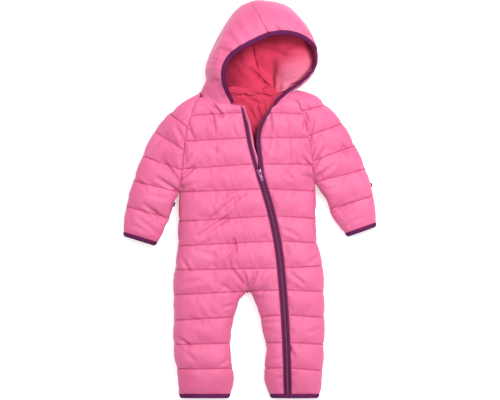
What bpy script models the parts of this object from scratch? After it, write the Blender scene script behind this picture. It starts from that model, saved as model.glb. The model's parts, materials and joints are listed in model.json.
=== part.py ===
"""A quilted baby snowsuit, laid flat on its back, its zip open down to the chest.

Every panel is a padded wall cut out of one form. In plan the form is bounded by the garment's
folded edges. Its height over the ground rises from those edges as a quarter of an ellipse, so
front, back, legs and sleeves are hollow tubes that lie flat below. Stitched lines divide the
panels into puffed channels. +X is the wearer's left, +Y runs to the hood, and +Z is up.
"""

from collections import namedtuple

import bmesh
import bpy
import numpy as np

MM = 0.001

# Cloth and padding, in millimetres
WALL = 5.0            # padded panel, at its stitched lines
PUFF = 4.5            # how far a channel stands proud between two stitched lines
GROOVE = 3.0          # how far the back's stitched lines lift off the ground
LINING = 1.5          # lining and guard cloth
BINDING = 0.8         # how far a bound edge stands proud of the panel
BINDING_WIDTH = 8.5
END_BINDING = 6.0     # the hood's binding where it runs out at the neck
SEAM = 0.5            # clear gap between two pieces at a seam
STEPS = 3             # rows of faces in one channel

# Thickness of the whole garment as it lies, front to back
BODY_THICK = 46.0
LEG_THICK = 42.0
HEM_THICK = 29.0
SLEEVE_THICK = 36.0
CUFF_THICK = 27.0
EDGE_SHARE = 0.4      # height of a folded edge, as a share of that thickness
FRONT_ROUND = 44.0    # how far in from a folded edge the front goes on rising
BACK_ROUND = 24.0     # the same below, where the back leaves the ground

# Folded edges and seams in plan: height up the garment, and distance from the middle
HEM_Y = -388.5
At = namedtuple("At", "y x")
RIGHT_SIDE = (At(HEM_Y, -142), At(-351, -144), At(-319, -149), At(-235, -152), At(-150, -151),
              At(-97, -144), At(-40, -142.5), At(16, -141))
LEFT_SIDE = (At(HEM_Y, 139.5), At(-351, 144), At(-300, 147), At(-178, 147), At(-130, 144),
             At(-83, 133), At(-48, 131.5), At(0, 131), At(35.7, 128.6))
RIGHT_RAGLAN = (At(16, -141), At(81, -134), At(145, -124.5), At(173, -116), At(193, -108),
                At(206, -101))
LEFT_RAGLAN = (At(35.7, 128.6), At(86, 124), At(130, 116), At(178, 103), At(198, 92), At(210, 77))
RIGHT_INSEAM = (At(HEM_Y, -38.6), At(-367, -34.5), At(-290, -40), At(-230, -31), At(-198, -19.4),
                At(-180, -3.6))
LEFT_INSEAM = (At(HEM_Y, 38.8), At(-367, 32), At(-290, 32), At(-242, 22.5), At(-198, 8.6),
               At(-180, -3.6))
RIGHT_ARM_OUT = (At(-64, -253), At(-32, -250.6), At(43, -231.6), At(94, -212), At(140, -188.4),
                 At(180, -153.4), At(217, -96.6))
RIGHT_ARM_IN = (At(-85, -185.2), At(-41, -163), At(2, -148), At(16, -141))
LEFT_ARM_OUT = (At(-44, 252.6), At(0, 248), At(52, 235), At(113, 208), At(170, 171),
                At(209, 126.6), At(221, 90))
LEFT_ARM_IN = (At(-68, 191), At(-32, 165), At(0, 152), At(35.7, 128.6))

# The zip: its middle below the slider, and the two edges it leaves in the open neck
ZIP_MIDDLE = (At(HEM_Y, 75.6), At(-287, 72.4), At(-185, 66), At(-83, 54.8), At(0, 35.6), At(50, 20))
RIGHT_OPEN = (At(50, 12.8), At(84, 3), At(111, -4), At(148, -10.7), At(190, -18.7))
LEFT_OPEN = (At(50, 27.2), At(66, 26), At(93, 23), At(121, 20.5), At(144, 24.1), At(173, 37.7),
             At(192, 48))
TAPE = 7.0
TAPE_THICK = 1.6
SLIDER_Y = 50.0

# Stitched lines of the body, from the hems to the neck: height at each side and at the zip
Line = namedtuple("Line", "right zip left")
BODY_LINES = (
    Line(HEM_Y, HEM_Y, HEM_Y), Line(-338, -336, -342), Line(-289, -285, -289),
    Line(-241, -230, -235), Line(-190, -180, -183), Line(-140, -136, -132),
    Line(-92, -82, -86), Line(-43, -32, -37), Line(16, 22, 18), Line(62, 72, 71),
    Line(118, 124, 125), Line(169, 175, 172), Line(206, 190, 210),
)
CROTCH_LINE = 4
CROTCH = (-3.6, -181.0)
RIGHT_ARMPIT_ROW = 8 * STEPS
LEFT_ARMPIT_ROW = 8 * STEPS + 1
INSEAM_SHARE = 0.7    # where a leg's inner edge meets the slope of a stitched line
LEFT_NECK_DROP = 16   # the left front's neck edge starts this much lower at the zip
NECK_DIP = 3          # power of the curve by which the right front falls to the zip

# Stitched lines of a sleeve, from the neck to the cuff: height at the outer and inner edge
Ring = namedtuple("Ring", "outer inner")
RIGHT_ARM_LINES = (Ring(217, 206), Ring(173, 145), Ring(137, 100), Ring(88, 60), Ring(38, 16),
                   Ring(-13, -36), Ring(-64, -85))
LEFT_ARM_LINES = (Ring(220, 211), Ring(190, 178), Ring(153, 128), Ring(109, 78), Ring(62, 35.7),
                  Ring(8, -18), Ring(-45, -67))
ARMPIT_RING = 4

# The hood, section by section from the right of the neck over the crown to the left:
# rim point and its height, then the point where the section passes the outline
Section = namedtuple("Section", "rim_x rim_y rim_z out_x out_y")
HOOD = (
    Section(-31.5, 195, 46, -94, 220), Section(-42, 218, 62, -92, 240),
    Section(-48.5, 240, 78, -88, 264), Section(-48, 262, 88, -80, 286),
    Section(-37, 283, 94, -67, 312), Section(-18, 298, 97, -51, 344),
    Section(8, 312, 97, -29, 377), Section(38, 325, 96, 0, 397),
    Section(66, 329, 94, 40, 397), Section(90, 326, 88, 76, 386),
    Section(110, 317, 80, 104, 354), Section(124, 304, 72, 124, 324),
    Section(130.5, 288, 66, 135.5, 292), Section(129, 268, 60, 134, 271),
    Section(117, 249, 56, 121, 248), Section(98, 234, 53, 104.5, 231),
    Section(76, 221, 50, 92, 223), Section(48, 197, 46, 86, 219),
)
CROWN = 7             # the section along which the hood's halves meet
NARROW = (0, 15, 16, 17)  # sections where the binding narrows towards the neck
NECK_BACK = (-8.0, 211.0)
CROWN_BACK = (8.0, 362.0)
THIN_FROM = (10, 13)  # between these sections the binding thins, where the rim turns over
THIN_BINDING = 2.0
RIM_SMOOTHING = 2     # rounds that even out the directions in which the rim is thickened
HOOD_BINDING_GAP = 0.9  # how far the hood's binding is drawn in from its own edges
NECK_SECTIONS = 3     # over these the hood's underside turns from the neckline to the crown
HOOD_WALL = 4.0
HOOD_EDGE_SHARE = 0.42
HOOD_UNDER = 26.0     # how far in from its outline the hood touches the ground
RIM_STEPS = 6

SHELL_PINK = (0.86, 0.22, 0.42, 1.0)
LINING_PINK = (0.62, 0.06, 0.14, 1.0)
PURPLE = (0.12, 0.015, 0.09, 1.0)
MAUVE = (0.45, 0.24, 0.40, 1.0)


def start_clean():
    for old in list(bpy.data.objects):
        bpy.data.objects.remove(old, do_unlink=True)
    collection = bpy.data.collections.new("baby_snowsuit")
    bpy.context.scene.collection.children.link(collection)
    return collection


def material(name, colour, roughness, metallic=0.0):
    made = bpy.data.materials.new(name)
    made.use_nodes = True
    shader = made.node_tree.nodes["Principled BSDF"]
    shader.inputs["Base Color"].default_value = colour
    shader.inputs["Roughness"].default_value = roughness
    shader.inputs["Metallic"].default_value = metallic
    return made


PARTS = start_clean()
SHELL_CLOTH = material("quilted_shell", SHELL_PINK, 0.45)
LINING_CLOTH = material("lining", LINING_PINK, 0.6)
TRIM = material("purple_trim", PURPLE, 0.55)
SLIDER_PAINT = material("slider_paint", MAUVE, 0.35, 0.3)


# ---- Curves in plan ----

def across(edge, y):
    """Distance from the middle at height y: a smooth curve through the edge's points."""
    ys = np.array([p.y for p in edge], float)
    xs = np.array([p.x for p in edge], float)
    slopes = np.gradient(xs, ys)
    y = np.asarray(y, float)
    inside = np.clip(y, ys[0], ys[-1])
    i = np.clip(np.searchsorted(ys, inside) - 1, 0, len(ys) - 2)
    span = ys[i + 1] - ys[i]
    t = (inside - ys[i]) / span
    start = (1 + 2 * t) * (1 - t) ** 2 * xs[i] + t * (1 - t) ** 2 * span * slopes[i]
    end = t * t * (3 - 2 * t) * xs[i + 1] - t * t * (1 - t) * span * slopes[i + 1]
    return start + end


def traced(edge, spacing=4.0):
    """Points along an edge, as x and y, in the order of its table."""
    first, last = edge[0].y, edge[-1].y
    ys = np.linspace(first, last, max(3, int(abs(last - first) / spacing)))
    return np.column_stack([across(edge, ys), ys])


def run_on(points, reach=25.0):
    """The line of points, carried straight on past its first and its last point."""
    ahead = points[-1] - points[-2]
    behind = points[0] - points[1]
    return np.vstack([points[0] + behind / np.linalg.norm(behind) * reach, points,
                      points[-1] + ahead / np.linalg.norm(ahead) * reach])


def joined(lower, upper):
    """Cuff to armpit to hem, or hem to crotch to hem, as one line run on at both ends."""
    return run_on(np.vstack([traced(lower), traced(upper)[::-1][1:]]))


RIGHT_OUTER = run_on(traced(RIGHT_ARM_OUT))[:-1]
LEFT_OUTER = run_on(traced(LEFT_ARM_OUT))[:-1]
FOLDS = (RIGHT_OUTER, joined(RIGHT_ARM_IN, RIGHT_SIDE), joined(RIGHT_INSEAM, LEFT_INSEAM),
         joined(LEFT_ARM_IN, LEFT_SIDE), LEFT_OUTER)


def gap_to(fold, xy):
    """Distance in plan from each point to a folded edge."""
    a, b = fold[:-1], fold[1:]
    ab = b - a
    t = np.einsum("pse,se->ps", xy[:, None] - a, ab) / np.einsum("se,se->s", ab, ab)
    near = a + np.clip(t, 0, 1)[..., None] * ab
    return np.linalg.norm(xy[:, None] - near, axis=2).min(axis=1)


# ---- The form: heights over the ground ----

def ramp(value, low, high):
    t = np.clip((value - low) / (high - low), 0, 1)
    return t * t * (3 - 2 * t)


def thickness(xy):
    """Front to back: full in the body, less in the legs and sleeves, least at their ends."""
    x, y = xy[:, 0], xy[:, 1]
    leg = LEG_THICK + (BODY_THICK - LEG_THICK) * ramp(y, -260, -120)
    leg = HEM_THICK + (leg - HEM_THICK) * ramp(y, HEM_Y, HEM_Y + 60)
    sleeve = CUFF_THICK + (SLEEVE_THICK - CUFF_THICK) * ramp(y, -42, 20)
    return leg + (sleeve - leg) * ramp(np.abs(x), 130, 185)


def fullness(xy, reach):
    """1 well inside the garment, falling to 0 at any folded edge."""
    full = np.ones(len(xy))
    for fold in FOLDS:
        away = np.clip(gap_to(fold, xy) / reach, 0, 1)
        full *= np.sqrt(np.clip(1 - (1 - away) ** 2, 0, 1))
    return full


def front_height(xy):
    return thickness(xy) * (EDGE_SHARE + (1 - EDGE_SHARE) * fullness(xy, FRONT_ROUND))


def back_height(xy):
    return thickness(xy) * EDGE_SHARE * (1 - fullness(xy, BACK_ROUND))


def moved_inward(xy, by=1.2):
    """The same grid with its first and last columns moved a little towards the middle ones."""
    moved = xy.astype(float)
    for edge, beside in ((0, 1), (-1, -2)):
        step = xy[:, beside] - xy[:, edge]
        length = np.linalg.norm(step, axis=1, keepdims=True)
        moved[:, edge] += step / np.maximum(length, by) * by
    return moved


def lifted(xy, height, up, folded):
    """Points and outward normals over a grid in plan. Those marked folded lie on a folded edge."""
    shape = xy.shape[:-1]
    flat = xy.reshape(-1, 2).astype(float)
    z = height(flat)
    edge = folded.reshape(-1)
    z[edge] = thickness(flat)[edge] * EDGE_SHARE
    step = 0.4
    inward = moved_inward(xy).reshape(-1, 2)
    slope_x = (height(inward + (step, 0)) - height(inward - (step, 0))) / (2 * step)
    slope_y = (height(inward + (0, step)) - height(inward - (0, step))) / (2 * step)
    normal = np.column_stack([-slope_x * up, -slope_y * up, np.full(len(flat), up)])
    normal[edge, 2] = 0
    length = np.linalg.norm(normal, axis=1, keepdims=True)
    normal = normal / np.where(length < 1e-9, 1, length)
    return np.column_stack([flat, z]).reshape(*shape, 3), normal.reshape(*shape, 3)


# ---- Solids ----

def add_node(name, mesh_data, finish):
    mesh = bpy.data.meshes.new(name)
    mesh_data.to_mesh(mesh)
    mesh_data.free()
    node = bpy.data.objects.new(name, mesh)
    mesh.materials.append(finish)
    mesh.shade_smooth()
    mesh.set_sharp_from_angle(angle=0.7)
    PARTS.objects.link(node)
    return node


def wall_solid(name, points, normals, faces, outer, inner, finish, seam=SEAM / 2):
    """A closed wall over a sheet: its outside lies `outer` off the points, its inside `inner`."""
    sheet = bmesh.new()
    verts = [sheet.verts.new(p) for p in points]
    for face in faces:
        sheet.faces.new([verts[i] for i in face])
    sheet.verts.index_update()
    drawn_in = np.zeros((len(points), 3))
    rim = []
    for edge in sheet.edges:
        if len(edge.link_faces) == 1:
            rim.append(edge)
            side = edge.link_faces[0].calc_center_median()
            along = (edge.verts[1].co - edge.verts[0].co).normalized()
            into = side - edge.verts[0].co
            into = (into - along * into.dot(along)).normalized()
            for vert in edge.verts:
                drawn_in[vert.index] += np.array(into) * seam
    rim_pairs = []
    for edge in rim:
        loop = edge.link_loops[0]
        rim_pairs.append((loop.vert.index, loop.link_loop_next.vert.index))
    sheet.free()
    outside = points + normals * np.reshape(outer, (-1, 1)) + drawn_in
    inside = points + normals * np.reshape(inner, (-1, 1)) + drawn_in
    solid = bmesh.new()
    top = [solid.verts.new(p * MM) for p in outside]
    low = [solid.verts.new(p * MM) for p in inside]
    for face in faces:
        solid.faces.new([top[i] for i in face])
        solid.faces.new([low[i] for i in reversed(face)])
    for a, b in rim_pairs:
        solid.faces.new([top[b], top[a], low[a], low[b]])
    bmesh.ops.triangulate(solid, faces=solid.faces, quad_method="SHORT_EDGE")
    if solid.calc_volume(signed=True) < 0:
        bmesh.ops.reverse_faces(solid, faces=solid.faces)
    return add_node(name, solid, finish)


def grid_solid(name, points, normals, outer, inner, finish, seam=SEAM / 2):
    """The same for a plain grid of rows and columns."""
    rows, cols = points.shape[:2]
    faces = [(r * cols + c, r * cols + c + 1, (r + 1) * cols + c + 1, (r + 1) * cols + c)
             for r in range(rows - 1) for c in range(cols - 1)]
    spread = np.ones((rows, cols))
    return wall_solid(name, points.reshape(-1, 3), normals.reshape(-1, 3), faces,
                      (spread * outer).ravel(), (spread * inner).ravel(), finish, seam)


def welded(names_points, tolerance=0.01):
    """One list of points from several grids, in which points that coincide are shared."""
    points, normals, puffs, index = [], [], [], []
    places = {}
    for grid, normal, puff in names_points:
        numbers = np.zeros(grid.shape[:2], int)
        for spot in np.ndindex(grid.shape[:2]):
            key = tuple(np.round(grid[spot] / tolerance).astype(int))
            if key not in places:
                places[key] = len(points)
                points.append(grid[spot])
                normals.append(normal[spot])
                puffs.append(puff[spot])
            numbers[spot] = places[key]
        index.append(numbers)
    return np.array(points), np.array(normals), np.array(puffs), index


def quads(numbers):
    faces = []
    for r in range(numbers.shape[0] - 1):
        for c in range(numbers.shape[1] - 1):
            corners = [numbers[r, c], numbers[r, c + 1], numbers[r + 1, c + 1], numbers[r + 1, c]]
            if len(set(corners)) == 4:
                faces.append(tuple(corners))
    return faces


# ---- Body panels ----

def eased(count, near_start, near_end):
    """Shares from 0 to 1, closer together at an end that lies on a folded edge."""
    t = np.linspace(0, 1, count + 1)
    if near_start and near_end:
        return (1 - np.cos(np.pi * t)) / 2
    if near_start:
        return 1 - np.cos(np.pi * t / 2)
    if near_end:
        return np.sin(np.pi * t / 2)
    return t


def line_heights():
    """Heights of every row of faces at the right side, zip and left side."""
    lines = np.array(BODY_LINES, float)
    rows = np.linspace(0, len(lines) - 1, (len(lines) - 1) * STEPS + 1)
    return rows, [np.interp(rows, np.arange(len(lines)), lines[:, i]) for i in range(3)]


ROWS, (RIGHT_Y, ZIP_Y, LEFT_Y) = line_heights()
INNER_Y = RIGHT_Y + INSEAM_SHARE * (ZIP_Y - RIGHT_Y)
CROTCH_ROW = CROTCH_LINE * STEPS


def zip_edges(y):
    """The two edges that the front panels leave for the zip."""
    middle = across(ZIP_MIDDLE, y)
    half = TAPE + SEAM
    right = np.where(y < SLIDER_Y, middle - half, across(RIGHT_OPEN, y))
    left = np.where(y < SLIDER_Y, middle + half, across(LEFT_OPEN, y))
    return right, left


def side_x(side, raglan, armpit_row, heights):
    rows = np.arange(len(heights))
    return np.where(rows <= armpit_row, across(side, heights), across(raglan, heights))


RIGHT_X = side_x(RIGHT_SIDE, RIGHT_RAGLAN, RIGHT_ARMPIT_ROW, RIGHT_Y)
LEFT_X = side_x(LEFT_SIDE, LEFT_RAGLAN, LEFT_ARMPIT_ROW, LEFT_Y)
NECK_WEIGHT = np.clip(ROWS - (len(BODY_LINES) - 2), 0, 1)
ZIP_LEFT_Y = ZIP_Y - LEFT_NECK_DROP * NECK_WEIGHT
ZIP_RIGHT_X = zip_edges(ZIP_Y)[0]
ZIP_LEFT_X = zip_edges(ZIP_LEFT_Y)[1]


def strip(start, end, shares):
    """A grid in plan: each row runs straight from its start point to its end point."""
    starts = np.column_stack(start)[:, None]
    ends = np.column_stack(end)[:, None]
    return starts + (ends - starts) * shares[None, :, None]


def channel_puff(rows, steps=STEPS):
    """1 between two stitched lines, 0 on them, for each row of a grid."""
    return np.where(np.asarray(rows) % steps == 0, 0.0, 1.0)


# One long edge of a panel: its points, the rows on which it is a folded edge, and the share of
# the puff that is left at it where it is folded and where it isn't
Edge = namedtuple("Edge", "x y folded kept_folded kept_open")


def body_grid(start, end, shares, height, up):
    """Points, normals and puff of one stretch of a body panel between two long edges."""
    plan = strip((start.x, start.y), (end.x, end.y), shares)
    folded = np.zeros(plan.shape[:2], bool)
    folded[:, 0] = start.folded
    folded[:, -1] = end.folded
    if up > 0:
        plan = dip_neck(plan)
    points, normals = lifted(plan, height, up, folded)
    puff = np.repeat(channel_puff(np.arange(len(plan)))[:, None], plan.shape[1], axis=1)
    for column, edge in ((0, start), (-1, end)):
        still_folded = edge.folded & np.append(edge.folded[1:], False)
        puff[:, column] *= np.where(still_folded, edge.kept_folded, edge.kept_open)
    return points, normals, puff


def dip_neck(plan):
    """The right front's neck edge falls quickly from the shoulder, then runs level to the zip."""
    share = (plan[..., 0] - RIGHT_X[:, None]) / (ZIP_RIGHT_X - RIGHT_X)[:, None]
    right_front = share < 1.0001
    share = np.clip(share, 0, 1)
    fall = (NECK_WEIGHT * (RIGHT_Y - ZIP_Y))[:, None] * ((1 - share) - (1 - share) ** NECK_DIP)
    plan = plan.copy()
    plan[..., 1] -= np.where(right_front, fall, 0)
    return plan


ALL_ROWS = np.arange(len(ROWS))
NOWHERE = np.zeros(len(ROWS), bool)
FRONT_MIDDLE_SHARE = 0.70
BACK_MIDDLE_SHARE = 0.50
LEG_COLUMNS = 6
INNER_COLUMNS = 3
SIDE_COLUMNS = 5
SLEEVE_COLUMNS = 5
BAND_COLUMNS = 7

RIGHT_EDGE = Edge(RIGHT_X, RIGHT_Y, ALL_ROWS <= RIGHT_ARMPIT_ROW, 0.5, 0.0)
LEFT_EDGE = Edge(LEFT_X, LEFT_Y, ALL_ROWS <= LEFT_ARMPIT_ROW, 0.5, 0.0)
RIGHT_ZIP_EDGE = Edge(ZIP_RIGHT_X, ZIP_Y, NOWHERE, 0.0, 0.2)
LEFT_ZIP_EDGE = Edge(ZIP_LEFT_X, ZIP_LEFT_Y, NOWHERE, 0.0, 0.2)


def middle_edge(inseam, share, end):
    """A leg's inner edge up to the crotch, and above it the column that joins the two legs."""
    below = ALL_ROWS < CROTCH_ROW
    x = np.where(below, across(inseam, INNER_Y), RIGHT_X + share * (end.x - RIGHT_X))
    y = np.where(below, INNER_Y, RIGHT_Y + share * (end.y - RIGHT_Y))
    x[CROTCH_ROW], y[CROTCH_ROW] = CROTCH
    return Edge(x, y, ALL_ROWS <= CROTCH_ROW, 0.6, 1.0)


def two_legged(end, share, height, up, inner_shares):
    """Both legs and the body above them, as welded points and faces."""
    first = body_grid(RIGHT_EDGE, middle_edge(RIGHT_INSEAM, share, end),
                      eased(LEG_COLUMNS, True, True), height, up)
    last = body_grid(middle_edge(LEFT_INSEAM, share, end), end, inner_shares, height, up)
    points, normals, puffs, (a, b) = welded((first, last))
    return points, normals, puffs, quads(a) + quads(b)


def front_panels():
    points, normals, puffs, faces = two_legged(RIGHT_ZIP_EDGE, FRONT_MIDDLE_SHARE, front_height, 1,
                                               eased(INNER_COLUMNS, True, False))
    wall_solid("front_main", points, normals, faces, puffs * PUFF, np.full(len(points), -WALL),
               SHELL_CLOTH)
    side = body_grid(LEFT_ZIP_EDGE, LEFT_EDGE, eased(SIDE_COLUMNS, False, True), front_height, 1)
    grid_solid("front_side", side[0], side[1], side[2] * PUFF, -WALL, SHELL_CLOTH)


def back_lift(normals, puffs):
    """The back's puffs touch the ground, its stitched lines lift off it, its edges bulge out."""
    level = np.abs(normals[..., 2])
    return puffs * PUFF * (1 - level) - (1 - puffs) * GROOVE * level


def back_panel():
    points, normals, puffs, faces = two_legged(LEFT_EDGE, BACK_MIDDLE_SHARE, back_height, -1,
                                               eased(LEG_COLUMNS, True, True))
    faces = [tuple(reversed(face)) for face in faces]
    wall_solid("back", points, normals, faces, back_lift(normals, puffs),
               np.full(len(points), -WALL), SHELL_CLOTH)


# ---- Tubes: sleeves, and the bands that bind their ends and the hems ----

def ring_plan(outer, inner, outer_y, inner_y, columns):
    """Rows that run from the outer edge of a tube to its inner edge."""
    a = np.column_stack([outer(outer_y), outer_y])[:, None]
    b = np.column_stack([inner(inner_y), inner_y])[:, None]
    return a + (b - a) * eased(columns, True, True)[None, :, None]


def tube(name, plan, joined_rows, puffs, proud, wall, finish):
    """A tube laid flat: its front and back meet at the outer edge, and at the inner one too on
    the rows marked as joined. Elsewhere the inner edge is a seam."""
    folded = np.zeros(plan.shape[:2], bool)
    folded[:, 0] = True
    folded[:, -1] = joined_rows
    front = lifted(plan, front_height, 1, folded)
    back = lifted(plan, back_height, -1, folded)
    puff = np.repeat(puffs[:, None], plan.shape[1], axis=1)
    puff[:, 0] *= 0.6
    puff[:, -1] *= 0.3 * joined_rows
    points, normals, shared, (a, b) = welded(((*front, puff), (*back, puff)))
    faces = quads(a) + [tuple(reversed(face)) for face in quads(b)]
    level = np.clip(-normals[:, 2], 0, 1)
    lift = shared * proud * (1 - level) - (1 - shared) * GROOVE * level * (proud > BINDING)
    wall_solid(name, points, normals, faces, lift, np.full(len(points), -wall), finish)


def sleeve(name, lines, outer, underarm, raglan):
    rings = np.array(lines, float)
    rows = np.arange((len(rings) - 1) * STEPS + 1)
    outer_y = np.interp(rows, np.arange(len(rings)) * STEPS, rings[:, 0])
    inner_y = np.interp(rows, np.arange(len(rings)) * STEPS, rings[:, 1])
    below = rows >= ARMPIT_RING * STEPS

    def inner(y):
        return np.where(below, across(underarm, y), across(raglan, y))

    plan = ring_plan(lambda y: across(outer, y), inner, outer_y, inner_y, SLEEVE_COLUMNS)
    tube(name, plan, below, channel_puff(rows), PUFF, WALL, SHELL_CLOTH)


def band(name, start, end, corner_in=4.0):
    """A bound tube end: a band that carries the tube on by its width, drawn in at the corners."""
    start, end = np.array(start, float), np.array(end, float)
    along = (end - start) / np.linalg.norm(end - start)
    onward = np.array([along[1], -along[0]])
    onward *= -np.sign(onward[1])
    rows = []
    for share in (0.0, 0.5, 1.0):
        step = onward * (SEAM + share * BINDING_WIDTH)
        inset = along * (SEAM + corner_in * share ** 2)
        rows.append(start + step + inset
                    + (end - start - 2 * inset) * eased(BAND_COLUMNS, True, True)[:, None])
    plan = np.array(rows)
    everywhere = np.ones(len(plan), bool)
    tube(name, plan, everywhere, np.ones(len(plan)), BINDING, WALL - 1.0, TRIM)


def sleeve_end(lines, outer, underarm):
    """The two ends of a sleeve's last ring, where its outer and inner folded edges stop."""
    ring = lines[-1]
    return (across(outer, ring.outer), ring.outer), (across(underarm, ring.inner), ring.inner)


def bands():
    hem = BODY_LINES[0]
    for name, side, inseam in (("right", RIGHT_SIDE, RIGHT_INSEAM), ("left", LEFT_SIDE, LEFT_INSEAM)):
        band(f"hem_binding_{name}", (side[0].x, hem.right), (inseam[0].x, hem.right))
    band("cuff_binding_right", *sleeve_end(RIGHT_ARM_LINES, RIGHT_ARM_OUT, RIGHT_ARM_IN))
    band("cuff_binding_left", *sleeve_end(LEFT_ARM_LINES, LEFT_ARM_OUT, LEFT_ARM_IN))


# ---- The zip ----

def zip_strip(name, right_x, left_x, y, near, far, finish):
    plan = np.stack([np.column_stack([right_x, y]), np.column_stack([left_x, y])], axis=1)
    points, normals = lifted(plan, front_height, 1, np.zeros(plan.shape[:2], bool))
    grid_solid(name, points, normals, near, far, finish)


def zip_tapes():
    heights = np.concatenate([np.linspace(HEM_Y, SLIDER_Y, 19), np.linspace(60, 188, 9)])
    right, left = zip_edges(heights)
    middle = across(ZIP_MIDDLE, heights)
    closed = heights <= SLIDER_Y
    zip_strip("zip_tape_right", right, np.where(closed, middle, right + TAPE), heights,
              0, -TAPE_THICK, TRIM)
    zip_strip("zip_tape_left", np.where(closed, middle, left - TAPE), left, heights,
              0, -TAPE_THICK, TRIM)
    open_heights = np.linspace(76, 186, 9)
    edge, _ = zip_edges(open_heights)
    below_tape = -TAPE_THICK - SEAM
    zip_strip("zip_guard", edge + 1, edge + 1 + TAPE + np.linspace(1, 4, 9), open_heights,
              below_tape, below_tape - LINING, LINING_CLOTH)


def back_lining():
    """The lining on the inside of the back, as far as the open neck shows it."""
    xs = np.linspace(-60, 74, 6)
    ys = np.linspace(40, 204, 6)
    plan = np.stack(np.meshgrid(xs, ys), axis=2)
    points, normals = lifted(plan, back_height, -1, np.zeros(plan.shape[:2], bool))
    near = -WALL - SEAM - 1
    grid_solid("back_lining", points[::-1], normals[::-1], near, near - LINING, LINING_CLOTH)


# ---- The hood ----

def hood_sections():
    """A grid of points: each row is a section from the rim, over the outline, under to the back."""
    over = np.sin(np.linspace(0, np.pi / 2, RIM_STEPS + 1))
    under = np.linspace(0, np.pi / 2, 4)[1:]
    heart = np.array([22.0, 292.0])
    neck, crown = np.array(NECK_BACK), np.array(CROWN_BACK)
    along = np.gradient(np.array([(s.rim_x, s.rim_y) for s in HOOD], float), axis=0)
    outward = np.column_stack([-along[:, 1], along[:, 0]])
    outward /= np.linalg.norm(outward, axis=1, keepdims=True)
    rows = []
    for i, s in enumerate(HOOD):
        rim, out = np.array([s.rim_x, s.rim_y]), np.array([s.out_x, s.out_y])
        share = i / CROWN if i <= CROWN else (len(HOOD) - 1 - i) / (len(HOOD) - 1 - CROWN)
        edge_z = HOOD_EDGE_SHARE * s.rim_z
        if i in (0, len(HOOD) - 1):
            edge_z = BODY_THICK * EDGE_SHARE
        width = END_BINDING if i in NARROW else BINDING_WIDTH
        reach = min(width, np.linalg.norm(out - rim) / 2)
        bound = rim + outward[i] * reach
        bound_z = s.rim_z - np.sqrt(width ** 2 - reach ** 2)
        section = [(*rim, s.rim_z)]
        section += [(*(bound + (out - bound) * t),
                     edge_z + (bound_z - edge_z) * (1 - t ** 2.2) ** 0.6) for t in over]
        from_end = min(i, len(HOOD) - 1 - i) / NECK_SECTIONS
        inward = neck + (heart - neck) * min(from_end, 1) - out
        inward /= np.linalg.norm(inward)
        for angle in under:
            spot = out + inward * HOOD_UNDER * (1 - np.cos(angle))
            section.append((*spot, edge_z * (1 - np.sin(angle))))
        foot = np.array(section[-1][:2])
        seam_point = neck + (crown - neck) * share
        if i == CROWN:
            seam_point = foot + (heart - foot) * 0.12
        section += [(*(foot + (seam_point - foot) * t), 0.0) for t in (0.5, 1.0)]
        rows.append(section)
    return np.array(rows)


def sheet_normals(points):
    """Outward normals of a grid, averaged over the faces around each point."""
    rows, cols = points.shape[:2]
    sheet = bmesh.new()
    verts = [sheet.verts.new(p) for p in points.reshape(-1, 3)]
    for face in quads(np.arange(rows * cols).reshape(rows, cols)):
        sheet.faces.new([verts[i] for i in face])
    sheet.normal_update()
    normals = np.array([v.normal for v in verts]).reshape(points.shape)
    sheet.free()
    return normals


def hood():
    points = hood_sections()
    normals = sheet_normals(points)
    if normals[CROWN, -1, 2] > 0:
        normals = -normals
    rim, body = slice(0, 2), slice(1, None)
    for _ in range(RIM_SMOOTHING):
        turned = normals[:, rim]
        turned[1:-1] = turned[:-2] + 2 * turned[1:-1] + turned[2:]
        turned /= np.linalg.norm(turned, axis=2, keepdims=True)
    halves = (("right", slice(0, CROWN + 1)), ("left", slice(CROWN, None)))
    lining_near = -HOOD_WALL - SEAM
    for side, part in halves:
        grid_solid(f"hood_{side}", points[part, body], normals[part, body], 0, -HOOD_WALL,
                   SHELL_CLOTH)
        grid_solid(f"hood_lining_{side}", points[part, body], normals[part, body],
                   lining_near, lining_near - LINING, LINING_CLOTH)
    sections = np.arange(len(HOOD))[:, None]
    depth = np.interp(sections, THIN_FROM, (lining_near - LINING - BINDING, -THIN_BINDING))
    grid_solid("hood_binding", points[:, rim], normals[:, rim], BINDING, depth, TRIM,
               seam=HOOD_BINDING_GAP)


# ---- Slider and pull tab, in a frame of their own whose +Y runs up the zip ----

SLIDER_LENGTH = 12.0
SLIDER_WIDTH = 10.0
PLATE = 1.7
POST_WIDTH = 1.2
CROWN_WIDTH = 2.4
CROWN_HALF = 3.7      # half the crown's length, feet included
FOOT = 1.0
PULL_BAR = 0.6        # radius of the bar under the crown
PULL_LENGTH = 21.0
PULL_WIDTH = 6.4
PULL_THICK = 1.1
WINDOW = 5.0          # from the bar's middle to the far end of the pull's window
ARM = 1.0
BAR_Z = PLATE + SEAM + PULL_BAR


def helper_collection():
    made = bpy.data.collections.new("cutters")
    bpy.context.scene.collection.children.link(made)
    return made


HELPERS = helper_collection()


def block(name, size, centre, collection, parent, bevel=0.0):
    """A box in the parent's frame, its size applied to its mesh, its edges rounded."""
    cube = bmesh.new()
    bmesh.ops.create_cube(cube, size=1.0)
    bmesh.ops.scale(cube, vec=[v * MM for v in size], verts=cube.verts)
    bmesh.ops.translate(cube, vec=[v * MM for v in centre], verts=cube.verts)
    mesh = bpy.data.meshes.new(name)
    cube.to_mesh(mesh)
    cube.free()
    made = bpy.data.objects.new(name, mesh)
    collection.objects.link(made)
    made.parent = parent
    if bevel:
        rounding = made.modifiers.new("rounding", "BEVEL")
        rounding.width = bevel * MM
        rounding.segments = 2
    if collection is HELPERS:
        made.hide_render = True
        made.display_type = "WIRE"
    return made


def combine(target, other, operation):
    change = target.modifiers.new(other.name, "BOOLEAN")
    change.operation = operation
    change.object = other


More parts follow.
